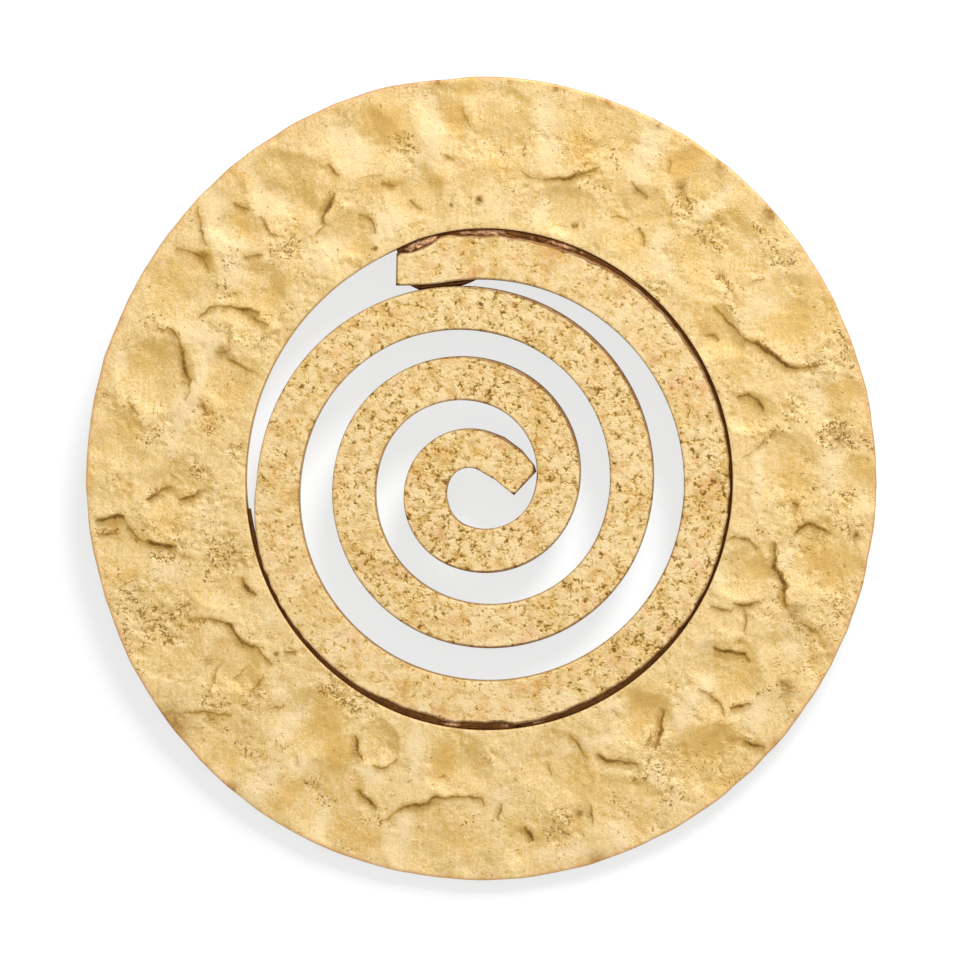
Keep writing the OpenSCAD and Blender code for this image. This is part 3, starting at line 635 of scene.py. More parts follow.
def hammered_face(points, sizes):
    """Height over the flat face in mm, and by name what the material reads there, at points in mm."""
    # The charted marks are drawn on places that drift a little, so that no outline is even.
    drift = np.stack([ripples(points, 11, 0.7, 1.8), ripples(points, 12, 0.7, 1.8)], axis=1)
    loose = points + 0.06 * drift
    wide = points + 0.35 * np.stack([ripples(points, 13, 2.5, 6), ripples(points, 14, 2.5, 6)], axis=1)

    height, ridge = hammer_marks(wide)
    height *= sizes.mark_depth
    height += 0.007 * ripples(points, 15, 3, 7) + 0.004 * ripples(points, 16, 1.2, 2.6)
    height += planished(loose, 19, 2.6, 0.014) + planished(loose, 20, 1.2, 0.013)
    height += 0.0018 * ripples(points, 17, 0.5, 1.0)
    gap, force = fold_creases(points, loose, height, sizes.crease_height / MM)
    lean = tilt_facets(points + 0.5 * (wide - points) + 0.15 * drift, height)

    pitted = np.zeros(len(points))
    for clock, radius, reach, density in PITTED_PATCHES:
        away = wide - dial(clock, radius)
        pitted = np.maximum(pitted, density * np.exp(-((away**2).sum(1) / reach**2) ** 1.5))
    pitted = np.clip(pitted + 0.1 + 0.1 * ridge + 0.2 * ripples(points, 18, 2, 6), 0, 1)
    rows = np.zeros(len(points))
    for strength, *places in PIT_ROWS:
        line = marked_line(places)
        near = around_line(points, line, 1)
        distance = along_line(loose[near], line)[0]
        rows[near] = np.maximum(rows[near], strength * np.exp(-((distance / 0.24) ** 2)))

    stain = np.zeros(len(points))
    for clock, radius, reach, strength in STAINS:
        away = (loose - dial(clock, radius)) / reach
        stain = np.maximum(stain, strength * np.exp(-((away**2).sum(1))))
    marks = {"crease_gap": gap, "crease_force": force, "pitted": pitted, "pit_row": rows}
    return height, {**marks, "stain": stain, "lean": lean, "ridge": ridge}


def press_pits(points, height, pitted, depth, seed=21, tries=6000):
    """Presses small pits into the height where the face is pitted, and returns a mask of their floors."""
    rng = np.random.default_rng(seed)
    floor = np.zeros(len(points))
    cell = 0.6
    keys = np.floor(points / cell).astype(int)
    cells = {}
    for index, key in enumerate(map(tuple, keys)):
        cells.setdefault(key, []).append(index)
    places = rng.choice(len(points), tries, p=pitted**1.5 / (pitted**1.5).sum())
    middles = points[places] + rng.normal(0, 0.08, (tries, 2))
    reaches = rng.uniform(0.1, 0.26, tries)
    depths = depth * rng.uniform(0.2, 1.0, tries) ** 1.5
    stretch = rng.uniform(0.6, 1.0, tries)
    turns = rng.uniform(0, math.pi, tries)
    for middle, reach, deep, thin, turn in zip(middles, reaches, depths, stretch, turns):
        column, row = np.floor(middle / cell).astype(int)
        near = [i for a in (-1, 0, 1) for b in (-1, 0, 1) for i in cells.get((column + a, row + b), ())]
        if not near:
            continue
        away = points[near] - middle
        long_way = away @ [math.cos(turn), math.sin(turn)]
        short_way = (away @ [-math.sin(turn), math.cos(turn)]) / thin
        bowl = np.exp(-(long_way**2 + short_way**2) / reach**2)
        height[near] -= deep * bowl
        floor[near] = np.maximum(floor[near], bowl * deep / depth)
    return floor


def facing_light(height, radius, clock):
    """How much each place of the face, on rings round the dial, leans to the upper right, from about
    -1 to 1. The face's colour takes painted light and shade from it."""
    turn = np.radians(clock)[None, :]
    outwards_slope = np.gradient(height, axis=0) / np.gradient(radius, axis=0)
    rise = np.roll(height, -1, 1) - np.roll(height, 1, 1)
    clockwise_slope = rise / (2 * (turn[0, 1] - turn[0, 0]) * radius)
    right = outwards_slope * np.sin(turn) + clockwise_slope * np.cos(turn)
    up = outwards_slope * np.cos(turn) - clockwise_slope * np.sin(turn)
    return np.clip(-(UPPER_RIGHT[0] * right + UPPER_RIGHT[1] * up) / 0.12, -1, 1)


def rest_matrix():
    """Moves the flat earring, drawn in metres, into its pose at rest."""
    lift = Matrix.Translation((0, REST_SHIFT * MM, REST_LIFT * MM))
    return lift @ Matrix.Rotation(REST_TILT, 4, "X")


def hold_values(mesh, attributes):
    """Puts values on a mesh's points by name. A table of three columns holds vectors."""
    for key, values in attributes.items():
        kind, field = ("FLOAT_VECTOR", "vector") if values.shape[-1:] == (3,) else ("FLOAT", "value")
        layer = mesh.attributes.new(key, kind, "POINT")
        layer.data.foreach_set(field, np.asarray(values, np.float32).ravel())


def ring_mesh(name, rings, attributes):
    """Closed mesh from rings of points in mm, each the same length, that follow one another round a
    torus."""
    count, size, _ = rings.shape
    mesh = bpy.data.meshes.new(name)
    index = np.arange(count * size).reshape(count, size)
    after = np.roll(index, -1, axis=1)
    following = np.roll(index, -1, axis=0)
    quads = np.stack([index, after, np.roll(following, -1, axis=1), following], axis=-1)
    mesh.from_pydata((rings.reshape(-1, 3) * MM).tolist(), [], quads.reshape(-1, 4).tolist())
    hold_values(mesh, attributes)
    return mesh


def finish_piece(name, mesh, material, slot, *nodes):
    """Makes the object of a finished mesh, smooth, at rest, and standing for its solids."""
    mesh.transform(rest_matrix())
    mesh.polygons.foreach_set("use_smooth", [True] * len(mesh.polygons))
    mesh.materials.clear()
    mesh.materials.append(material)
    mesh.update()
    piece = bpy.data.objects.new(name, mesh)
    bpy.context.scene.collection.objects.link(piece)
    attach(piece, "root")
    if nodes:
        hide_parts(*nodes)
    return piece


# Node types by the short name that the trees here use. Each has its type and settings, the inputs that
# its values go to in order, with what they hold where none is given, and the output read from it.
NODE_KINDS = {
    "coordinates": ("ShaderNodeTexCoord", {}, {}, "Object"),
    "attribute": ("ShaderNodeAttribute", {}, {}, "Fac"),
    "mapping": ("ShaderNodeMapping", {}, {"Vector": None, "Scale": None, "Rotation": None}, 0),
    "noise": (
        "ShaderNodeTexNoise", {},
        {"Vector": None, "Scale": None, "Detail": 3.0, "Roughness": 0.55, "Distortion": 0.0}, 0,
    ),
    # Stretches the part of a value between two limits over a new range, with soft ends.
    "spread": (
        "ShaderNodeMapRange", {"interpolation_type": "SMOOTHSTEP"},
        {"Value": None, "From Min": None, "From Max": None, "To Min": 0.0, "To Max": 1.0}, "Result",
    ),
    "blend": (
        "ShaderNodeMix", {"data_type": "RGBA", "clamp_factor": True}, {0: None, 6: None, 7: None}, 2,
    ),
    # Colour seen through a film of tarnish.
    "film": (
        "ShaderNodeMix", {"data_type": "RGBA", "clamp_factor": True, "blend_type": "MULTIPLY"},
        {0: None, 6: None, 7: None}, 2,
    ),
    "bump": ("ShaderNodeBump", {}, {"Height": None, "Strength": None, "Distance": None}, "Normal"),
    # Bare metal under a thin film of old lacquer.
    "metal": (
        "ShaderNodeBsdfPrincipled", {},
        {
            "Base Color": None, "Roughness": None, "Normal": None, "Metallic": 1.0,
            "Specular Tint": linear("#edd3ae"), "Coat Weight": 0.2, "Coat Roughness": 0.4,
        }, 0,
    ),
    "glowing sheet": (
        "ShaderNodeBsdfPrincipled", {},
        {
            "Base Color": None, "Emission Strength": None, "Emission Color": linear("#ffffff"),
            "Roughness": 0.9,
        }, 0,
    ),
    "surface": ("ShaderNodeOutputMaterial", {}, {"Surface": None}, None),
    "given": ("NodeGroupInput", {}, {}, None),
    "named": ("GeometryNodeInputNamedAttribute", {}, {"Name": None}, "Attribute"),
    "position": ("GeometryNodeInputPosition", {}, {}, 0),
    "upwards": ("ShaderNodeCombineXYZ", {}, {"Z": None}, 0),
    "vector +": ("ShaderNodeVectorMath", {"operation": "ADD"}, {0: None, 1: None}, "Vector"),
    "vector -": ("ShaderNodeVectorMath", {"operation": "SUBTRACT"}, {0: None, 1: None}, "Vector"),
    "vector scale": ("ShaderNodeVectorMath", {"operation": "SCALE"}, {0: None, 3: None}, "Vector"),
    "seeded noise": (
        "ShaderNodeTexNoise", {"noise_dimensions": "4D"},
        {"Vector": None, "W": None, "Scale": None, "Detail": 3.0, "Roughness": 0.6}, 0,
    ),
    "object": ("GeometryNodeObjectInfo", {}, {"Object": None}, "Geometry"),
    "curve": ("GeometryNodeMeshToCurve", {}, {"Mesh": None}, 0),
    "sweep": ("GeometryNodeCurveToMesh", {}, {"Curve": None, "Profile Curve": None, "Fill Caps": True}, 0),
    "place": ("GeometryNodeSetPosition", {}, {"Geometry": None, "Position": None}, 0),
    "shift": ("GeometryNodeSetPosition", {}, {"Geometry": None, "Offset": None}, 0),
    "realize": ("GeometryNodeRealizeInstances", {}, {"Geometry": None}, 0),
    "set material": ("GeometryNodeSetMaterial", {}, {"Geometry": None, "Material": None}, 0),
    "result": ("NodeGroupOutput", {}, {0: None}, None),
}
SUMS = {
    "+": "ADD", "-": "SUBTRACT", "*": "MULTIPLY", "/": "DIVIDE", "greatest": "MAXIMUM",
    "without sign": "ABSOLUTE", "is over": "GREATER_THAN",
}
NODE_KINDS |= {
    sign: ("ShaderNodeMath", {"operation": operation}, {0: None, 1: None}, 0)
    for sign, operation in SUMS.items()
}


def add_node(tree, kind, *values, **settings):
    """Adds one node with its settings and links, and returns the output that a tree reads from it, or
    all of them. A value is a constant, or the output of another node to link to."""
    node_type, usual_settings, usual_values, output = NODE_KINDS[kind]
    made = tree.nodes.new(node_type)
    for key, value in {**usual_settings, **settings}.items():
        setattr(made, key, value)
    for key, value in {**usual_values, **dict(zip(usual_values, values))}.items():
        if isinstance(value, bpy.types.NodeSocket):
            tree.links.new(value, made.inputs[key])
        elif value is not None:
            made.inputs[key].default_value = value
    return made.outputs if output is None else made.outputs[output]


def chain(node, sign, *values):
    """Sum, product or greatest of several values."""
    return functools.reduce(lambda first, second: node(sign, first, second), values)


def weighted(node, *parts):
    """Sum of values, each times its weight."""
    return chain(node, "+", *[node("*", value, weight) for value, weight in parts])


def per_size(millimetres):
    """Scale of a pattern whose features are this many mm across."""
    return 1 / (millimetres * MM)


def start_material(name):
    """New material, its adder of nodes, and the object coordinates that its patterns follow."""
    material = bpy.data.materials.new(name)
    material.use_nodes = True
    material.node_tree.nodes.clear()
    node = functools.partial(add_node, material.node_tree)
    return material, node, node("coordinates")


def patches(node, place, size, limits, detail=2.0, roughness=0.55):
    """Soft patches of this size in mm, where a cloudy pattern lies between the first two limits. They
    go from 0 to 1, or from the third limit to the fourth."""
    return node("spread", node("noise", place, per_size(size), detail, roughness), *limits)


def fine_pits(node, place, size, share):
    """Ragged small pits that crowd together with their share, from 0 to 1 at their floors."""
    level = node("noise", place, per_size(size), 2.0, 0.7, 0.6)
    brink = node("+", node("*", share, 0.17), 0.33)
    inside = node("spread", node("-", brink, level), -0.01, 0.05)
    scattered = patches(node, place, 0.62 * size, (0.56, 0.44), 1.0)
    return node("*", inside, scattered)


def hammered_brass(colours):
    """Sheet brass, hammered and left with a satin polish.

    It gives the eye broad soft facets of pale and deep gold, painted light and shade on those that
    lean to or from the light, thin brown creases with a painted olive shade on their lower side,
    specks in the pits and a line of copper along the rim."""
    material, node, place = start_material("hammered_brass")
    lean, ridge, painted_light_lean, gap, force, pitted, rows, pit_floor, stain, edge, wall = (
        node("attribute", attribute_name=name)
        for name in (
            "lean", "ridge", "painted_light_lean", "crease_gap", "crease_force", "pitted", "pit_row", "pit_floor",
            "stain", "edge", "wall",
        )
    )

    clouds = node("noise", place, per_size(5.0), 4.0)
    mottle = node("noise", place, per_size(1.1), 4.0, 0.6)
    grain = node("noise", place, per_size(0.22), 2.0, 0.7)
    # Polishing lines are far finer than the render shows, so these are drawn about 0.2 mm wide.
    upright = node("mapping", place, (1, 0.12, 1), (0, 0, 0.1))
    hairlines = node("-", node("noise", upright, per_size(0.28), 3.0, 0.65, 0.4), 0.5)
    polished = patches(node, place, 3.0, (0.4, 0.6, 0.5, 1.4))
    hairlines = node("+", node("*", hairlines, polished), 0.5)
    # Painted light and shade: the tone is paler on facets and slopes that lean to the light and deeper
    # where they lean away. The rest of it is the metal's own uneven colour and the polish on the ridges.
    tone = weighted(
        node, (clouds, 0.5), (lean, 1.0), (node("greatest", lean, 0.0), 0.5), (ridge, 0.3),
        (painted_light_lean, 0.5), (mottle, 0.8), (grain, 4.2), (hairlines, 1.8),
    )
    colour = node("blend", node("spread", tone, 2.6, 4.98), colours.deep_brass, colours.pale_brass_and_highlight)
    # Painted shade: facets that lean away from the light turn a warmer orange.
    warm = node("*", node("spread", node("*", lean, -1.0), 0.1, 0.9), 0.18)
    colour = node("blend", warm, colour, colours.warm_brass_and_shade)

    by_crease = node("*", node("spread", node("without sign", gap), 0.6, 0.1), force)
    crowd = node("+", node("+", pitted, rows), node("*", by_crease, 0.6))
    specks = fine_pits(node, place, 0.38, crowd)
    floor = node("*", node("spread", pit_floor, 0.3, 0.9), 0.4)
    soft = node("+", node("*", pitted, 0.5), 0.15)
    soft = node("*", node("spread", mottle, 0.52, 0.3), soft)
    # Painted shade: a thin film on slopes that lean away from the light.
    soft = node("+", soft, node("*", node("spread", painted_light_lean, 0.0, -1.0), 0.25))

    # Fine wrinkles, in patches, where the blows pushed the skin of the metal together.
    folds = node("noise", place, per_size(1.5), 3.0, 0.55, 0.8)
    folds = node("without sign", node("-", folds, 0.5))
    patch = patches(node, place, 2.6, (0.45, 0.58))
    wrinkles = node("*", node("spread", folds, 0.022, 0.0), patch)

    # The creases wander by a tenth of a mm and swell and fade along their length.
    ragged = node("-", node("noise", place, per_size(0.4), 3.0, 0.7), 0.5)
    beside = node("+", gap, node("*", ragged, 0.3))
    swell = patches(node, place, 0.9, (0.3, 0.7, 0.72, 1.15))
    depth = node("*", force, swell)
    half_width = node("+", node("*", node("*", depth, depth), 0.18), 0.085)
    # The crease's dark core is partly oxide in the fold and partly painted shade.
    core = node("spread", node("/", node("without sign", beside), half_width), 1.6, 0.1)
    broken = patches(node, place, 0.32, (0.32, 0.52, 0.7, 1.12), roughness=0.7)
    core = chain(node, "*", core, depth, broken)
    # Painted shade: an olive film along each crease's lower side, the side away from the light.
    reach = node("+", node("*", depth, 1.2), 0.3)
    below = node("spread", node("/", node("*", beside, -1.0), reach), 1.0, 0.0)
    below = node("*", below, node("spread", beside, 0.1, -0.1))
    flank = node("*", below, node("*", depth, 1.6, use_clamp=True))

    thin = chain(
        node, "greatest", soft, floor, node("*", specks, 0.9), node("*", wrinkles, 0.35),
        node("spread", stain, 0.0, 0.6), flank, node("spread", core, 0.0, 0.3),
    )
    colour = node("film", thin, colour, colours.thin_tarnish_and_shade)
    patchy = patches(node, place, 0.35, (0.36, 0.58, 0.25, 1.1), 3.0, 0.6)
    thick = chain(
        node, "greatest", node("spread", core, 0.05, 1.0), chain(node, "*", stain, 1.2, patchy),
        node("*", specks, node("+", 0.35, node("*", rows, 0.4))), node("*", flank, 0.25),
    )
    colour = node("film", thick, colour, colours.thick_tarnish_and_shade)

    rim = node("*", edge, patches(node, place, 2.4, (0.35, 0.6), 3.0))
    colour = node("blend", node("*", rim, 0.35), colour, colours.copper)
    colour = node("blend", wall, colour, colours.brown_oxide)

    roughness = node("+", node("spread", mottle, 0.3, 0.7, 0.46, 0.56), node("*", thick, 0.2))
    relief = node("*", grain, node("+", pitted, 0.9))
    relief = chain(
        node, "+", relief, node("*", hairlines, 0.6), mottle, node("*", specks, -0.5),
        node("*", wrinkles, -0.4),
    )
    node("surface", node("metal", colour, roughness, node("bump", relief, 0.8, 0.035 * MM)))
    return material


def stippled_brass(colours):
    """Flat brass strip, rolled, bent on edge and left as it is.

    It gives the eye a flatter and greyer gold than the disc's, finely stippled all over, with
    olive brown specks in the stipples and a thin brown line along both edges."""
    material, node, place = start_material("stippled_brass")
    across, height, worn, seared, from_end, outer_line, inner_line = (
        node("attribute", attribute_name=name)
        for name in ("across", "height", "worn", "seared", "from_end", "outer_line", "inner_line")
    )

    clouds = node("noise", place, per_size(3.5), 3.0)
    mottle = node("noise", place, per_size(0.8), 4.0, 0.62)
    blobs = node("noise", place, per_size(0.55), 2.0, 0.6, 0.3)
    grain = node("noise", place, per_size(0.24), 2.0, 0.7)
    tone = weighted(node, (clouds, 0.8), (mottle, 0.5), (blobs, 0.5), (grain, 0.7))
    colour = node("blend", node("spread", tone, 1.02, 1.38), colours.strip_brass, colours.pale_brass_and_highlight)
    pinkish = patches(node, place, 2.2, (0.6, 0.7))
    colour = node("blend", node("*", pinkish, 0.25), colour, colours.copper)
    warm = patches(node, place, 1.3, (0.5, 0.66), 3.0)
    colour = node("blend", node("*", warm, 0.3), colour, colours.warm_brass_and_shade)

    level = weighted(node, (blobs, 0.6), (grain, 0.4), (node("-", 0.9, worn), 0.07))
    pits = node("spread", level, 0.51, 0.395)
    film = patches(node, place, 0.9, (0.5, 0.36), 3.0, 0.6)
    thin = node("greatest", pits, node("*", film, 0.6))
    colour = node("film", thin, colour, colours.thin_tarnish_and_shade)
    colour = node("film", node("spread", level, 0.43, 0.35), colour, colours.thick_tarnish_and_shade)

    # The edges are dark in a line on each side, at the cut ends and in their corners.
    from_middle = node("-", across, 0.5)
    outside = node("is over", from_middle, 0.0)
    outer_line = node("*", outer_line, outside)
    inner_line = node("*", inner_line, node("-", 1.0, outside))
    tarnished = node("greatest", node("+", outer_line, inner_line), node("*", seared, 0.8))
    from_edge = node("*", node("-", 0.5, node("without sign", from_middle)), 3.5)
    from_edge = node("+", from_edge, node("*", node("-", mottle, 0.5), 0.25))
    width = node("+", node("*", tarnished, 0.15), 0.05)
    line = node("spread", node("-", from_edge, width), 0.07, -0.05)
    line = node("*", line, node("*", tarnished, 0.8))
    end = node("*", node("spread", from_end, 0.24, 0.12), 0.8)
    corner = node("spread", node("+", from_end, from_edge), 0.75, 0.35)
    side = node("+", node("*", tarnished, 0.8), 0.15)
    side = node("*", node("spread", height, 1.15, 0.95), side)
    dark = chain(node, "greatest", line, end, corner, side)
    colour = node("blend", dark, colour, colours.brown_oxide)

    roughness = node("spread", mottle, 0.3, 0.7, 0.5, 0.6)
    relief = node("-", node("+", mottle, grain), node("*", pits, 0.5))
    node("surface", node("metal", colour, roughness, node("bump", relief, 0.7, 0.05 * MM)))
    return material


def burnt_solder(colours):
    """Silver solder with burnt flux, run into the seam and not cleaned.

    It gives the eye a glossy purple brown line, lumpy where it stands high, with pinkish metal on
    the lumps that is partly clean solder and partly a painted highlight."""
    material, node, place = start_material("burnt_solder")
    lump = node("attribute", attribute_name="lump")
    across = node("attribute", attribute_name="across")
    mottle = node("noise", place, per_size(0.5), 3.0, 0.6)
    off_middle = node("without sign", node("-", across, 0.5))
    off_middle = node("+", off_middle, node("*", node("-", mottle, 0.5), 1.2))
    lumpy = node("+", node("noise", place, per_size(1.0), 2.0), node("*", lump, 0.35))
    # Pale in the middle of the seam and on the high lumps: partly clean solder, partly a painted highlight.
    clean = chain(
        node, "*", node("spread", off_middle, 0.36, 0.22), node("spread", lumpy, 0.68, 0.85),
        patches(node, place, 0.3, (0.36, 0.5, 0.4, 1.0)),
    )
    soot = node("*", node("spread", mottle, 0.56, 0.4), 0.6)
    colour = node("film", soot, colours.burnt_solder, colours.thick_tarnish_and_shade)
    colour = node("blend", clean, colour, colours.bare_solder_and_highlight)
    roughness = node("spread", mottle, 0.3, 0.7, 0.35, 0.55)
    normal = node("bump", node("noise", place, per_size(0.25), 3.0), 0.8, 0.08 * MM)
    node("surface", node("metal", colour, roughness, normal))
    return material


def clip_spring_brass(colours):
    """Rolled spring brass, plain and dulled by wear.

    It gives the eye an even satin gold with faint rolling lines and warmer patches."""
    material, node, place = start_material("clip_spring_brass")
    clouds = patches(node, place, 2.5, (0.42, 0.72, 0.0, 0.45), 4.0)
    colour = node("blend", clouds, colours.clip_brass, colours.warm_brass_and_shade)
    # Rolling lines are a few hundredths of a mm wide, drawn here at 0.12 mm so that they show.
    stretched = node("mapping", place, (1, 0.05, 0.05))
    lines = node("noise", stretched, per_size(0.12), 2.0)
    roughness = node("spread", lines, 0.3, 0.7, 0.32, 0.48)
    node("surface", node("metal", colour, roughness, node("bump", lines, 0.4, 0.02 * MM)))
    return material


def white_sheet(colours):
    """Matt sheet over a light table. It gives the eye a clean white ground with a faint soft shadow:
    the glow makes it white, and on its dark body the lamps show little."""
    material, node, _ = start_material("white_sheet")
    node("surface", node("glowing sheet", colours.floor, SHEET_GLOW))
    return material


def disc_rings(sizes):
    """Points of the disc in mm, ring by ring: over the face, down the rim, back below and up the
    hole's wall. With them, by name, what the material reads there."""
    around = 960
    face_rings = 72
    back_rings = 12
    clock = np.arange(around) * 360 / around
    edge = sizes.edge_radius / MM
    top = sizes.sheet_thickness / MM
    inner = round_profile(HOLE, clock) + edge
    outer = round_profile(RIM, clock) + 0.03 * ripples(dial(clock, 32.0), 31, 1.5, 6) - edge

    def between(shares):
        """Radii and points of rings that lie at these shares of the way from the hole to the rim."""
        radius = inner[None, :] + shares[:, None] * (outer - inner)[None, :]
        return radius, dial(np.broadcast_to(clock, radius.shape), radius).reshape(-1, 2)

    face_radius, points = between(np.linspace(0, 1, face_rings))
    shape = face_radius.shape
    height, masks = hammered_face(points, sizes)
    masks["pit_floor"] = press_pits(points, height, masks["pitted"], sizes.pit_depth / MM)
    masks = {key: value.reshape(shape) for key, value in masks.items()}
    height = height.reshape(shape)
    masks["painted_light_lean"] = facing_light(height, face_radius, clock)

    radii = [face_radius]
    levels = [top + height]
    edges = [np.exp(-np.abs(face_radius - outer[None, :]) / 0.16)]
    walls = [np.zeros(shape)]
    filled = {key: [value] for key, value in masks.items()}

    # The hole's wall is clean where the crescent-shaped gap leaves it bare, and burnt along the seam.
    first, last = BARE_WALL
    bare = np.clip(np.minimum(clock - first, last - clock) / 6, 0, 1)

    def add_ring(radius, level, edge_mask, wall_mask, row):
        """One ring of a side. It takes its stains, and its facets' painted light and shade, from the row of
        the face next to it.
        """
        radii.append(radius[None, :])
        levels.append(level[None, :])
        edges.append(np.full((1, around), edge_mask))
        walls.append((wall_mask * (1 - 0.88 * bare))[None, :])
        for key, value in masks.items():
            carried = value[row][None, :] if key in ("stain", "lean") else np.zeros((1, around))
            filled[key].append(carried)

    def add_side(middle, sign, row, edge_mask, wall_mask):
        """Rounded upper corner, wall and rounded lower corner, from the face down."""
        face = height[row]
        side = []
        for turn in np.radians((35, 65, 90)):
            side.append((edge * math.sin(turn), top - edge + face + edge * math.cos(turn)))
        side.append((edge, 0.5 * top + 0.5 * face))
        for turn in np.radians((90, 45)):
            side.append((edge * math.sin(turn), np.full(around, edge - edge * math.cos(turn))))
        for out, level in side:
            add_ring(middle + sign * out, level, edge_mask, wall_mask, row)

    add_side(outer, 1, -1, 1.0, 0.15)
    back_radius, back_points = between(np.linspace(1, 0, back_rings))
    unevenness = np.clip(0.02 + 0.02 * ripples(back_points, 33, 4, 9), 0, 0.08)
    unevenness = unevenness.reshape(back_radius.shape)
    unevenness[0] = 0
    unevenness[-1] = 0
    radii.append(back_radius)
    levels.append(unevenness)
    edges.append(np.zeros(back_radius.shape))
    walls.append(np.full(back_radius.shape, 0.2))
    for key in masks:
        filled[key].append(np.full(back_radius.shape, 0.5 if key == "pitted" else 0.0))
    before = len(radii)
    add_side(inner, -1, 0, 0.0, 1.0)
    # The hole's side was added from the face down, but the rings go up it.
    for pile in (radii, levels, edges, walls, *filled.values()):
        pile[before:] = pile[before:][::-1]

    radius = np.concatenate(radii)
    flat = dial(np.broadcast_to(clock, radius.shape), radius)
    rings = np.concatenate([flat, np.concatenate(levels)[..., None]], axis=-1)
    attributes = {key: np.concatenate(value) for key, value in filled.items()}
    attributes["edge"] = np.concatenate(edges)
    attributes["wall"] = np.concatenate(walls)
    return rings, attributes


def bent_line(spacing):
    """Middle line of the strip in mm up to its straight inner end, its headings in radians, and the
    place and heading where it ends."""
    place = np.array(STRIP_START)
    heading = math.radians(STRIP_HEADING)
    middles = []
    headings = []
    for sweep, radius in STRIP_BENDS:
        side = math.copysign(1, sweep)
        pivot = place + side * radius * np.array([math.cos(heading), -math.sin(heading)])
        steps = max(2, round(abs(math.radians(sweep)) * radius / spacing))
        turns = heading + np.linspace(0, math.radians(sweep), steps, endpoint=False)
        middles.append(pivot - side * radius * np.stack([np.cos(turns), -np.sin(turns)], axis=1))
        headings.append(turns)
        heading += math.radians(sweep)
        place = pivot - side * radius * np.array([math.cos(heading), -math.sin(heading)])
    return np.concatenate(middles), np.concatenate(headings), place, heading


def widened_to_seam(outer, inner, swept):
    """Outer edge of the strip, moved out to the seam over its first turn, which fills the hole. How
    far it has swept round is in degrees."""
    follow = np.clip((FIRST_TURN - swept) / 20, 0, 1)
    crossing = outer - inner
    length = (crossing**2).sum(1)
    lean = (inner * crossing).sum(1)
    for _ in range(3):
        clock = np.degrees(np.arctan2(outer[:, 0], outer[:, 1])) % 360
        limit = round_profile(HOLE, clock) - round_profile(SEAM, clock, 1.2)
        limit += 0.04 * ripples(dial(clock, 20.0), 42, 0.8, 3)
        short = np.clip(lean**2 - length * ((inner**2).sum(1) - limit**2), 0, None)
        share_out = (np.sqrt(short) - lean) / length
        outer = inner + (1 + follow * (share_out - 1))[:, None] * crossing
    return outer


def tip_edge(table, side, half, place, heading):
    """One edge of the straight inner end, on the outer side with 1 and on the inner side with -1."""
    forward = np.array([math.sin(heading), math.cos(heading)])
    outward = np.array([-math.cos(heading), math.sin(heading)])
    along, off = np.array(table, float).T
    go = np.linspace(0, 1, TIP_STEPS) * along[-1]
    return place + go[:, None] * forward + side * (half + np.interp(go, along, off))[:, None] * outward


def strip_path(sizes, spacing=0.15):
    """Outer and inner edge of the spiral strip in mm, from its outer end inwards, and by name what
    the material reads along them: how stippled it is, how burnt by the soldering, how dark the lines
    along its edges are, and the distance to the nearer end."""
    half = sizes.strip_width / MM / 2
    middle, turn, place, heading = bent_line(spacing)
    outward = np.stack([-np.cos(turn), np.sin(turn)], axis=1)
    inner = middle - half * outward
    outer = widened_to_seam(middle + half * outward, inner, np.degrees(turn - turn[0]))
    outer = np.concatenate([outer, tip_edge(TIP_OUTER, 1, half, place, heading)])
    inner = np.concatenate([inner, tip_edge(TIP_INNER, -1, half, place, heading)])

    # The strip is a little narrower over the eye of the spiral, which only its last points pass.
    waist = 0.38 * np.exp(-((np.linalg.norm(inner - EYE, axis=1) / 1.9) ** 2))
    waist[:-PAST_EYE] = 0
    inner = inner + waist[:, None] * (outer - inner) / np.linalg.norm(outer - inner, axis=1)[:, None]
    middle = (outer + inner) / 2
    clock = np.degrees(np.arctan2(middle[:, 0], middle[:, 1])) % 360
    line_clock, outer_line, inner_line = np.array(EDGE_LINES, float).T
    run = np.concatenate([[0], np.cumsum(np.linalg.norm(np.diff(middle, axis=0), axis=1))])
    patchy = 1 + 0.2 * ripples(middle, 41, 4, 14)
    marks = {
        "worn": np.interp(run, *np.array(STRIP_WEAR, float).T) * patchy,
        "seared": np.exp(-((run / 4) ** 2)),
        "outer_line": np.interp(clock, line_clock, outer_line),
        "inner_line": np.interp(clock, line_clock, inner_line),
        "from_end": np.clip(np.minimum(run + 0.05, run[-1] - run), 0, 2),
    }
    return outer, inner, marks


def strip_section(sizes):
    """Closed outline of the strip's section: distance across from 0 to 1, and height in mm."""
    width = sizes.strip_width / MM
    thick = sizes.strip_thickness / MM
    edge = sizes.edge_radius / MM

    def corner(x, y, *turns):
        return [(x + edge * math.sin(turn), y + edge * math.cos(turn)) for turn in np.radians(turns)]

    outline = [(x, thick) for x in np.linspace(edge, width - edge, 23)]
    outline += corner(width - edge, thick - edge, 30, 60, 90)
    outline += [(width, share * thick) for share in (0.75, 0.5, 0.25)]
    outline += corner(width - edge, edge, 90, 135)
    outline += [(x, 0) for x in np.linspace(width - edge, edge, 5)]
    outline += corner(edge, edge, 225, 270)
    outline += [(0, share * thick) for share in (0.25, 0.5, 0.75)]
    outline += corner(edge, thick - edge, 270, 300, 330)
    return np.array(outline) / (width, 1)


def line_object(name, points, attributes, closed=False):
    """Helper object with a line of edges through points in mm, and values on its points."""
    mesh = bpy.data.meshes.new(name)
    edges = [(i, i + 1) for i in range(len(points) - 1)]
    if closed:
        edges.append((len(points) - 1, 0))
    mesh.from_pydata(points.tolist(), edges, [])
    hold_values(mesh, attributes)
    helper = bpy.data.objects.new(name, mesh)
    bpy.context.scene.collection.objects.link(helper)
    return helper


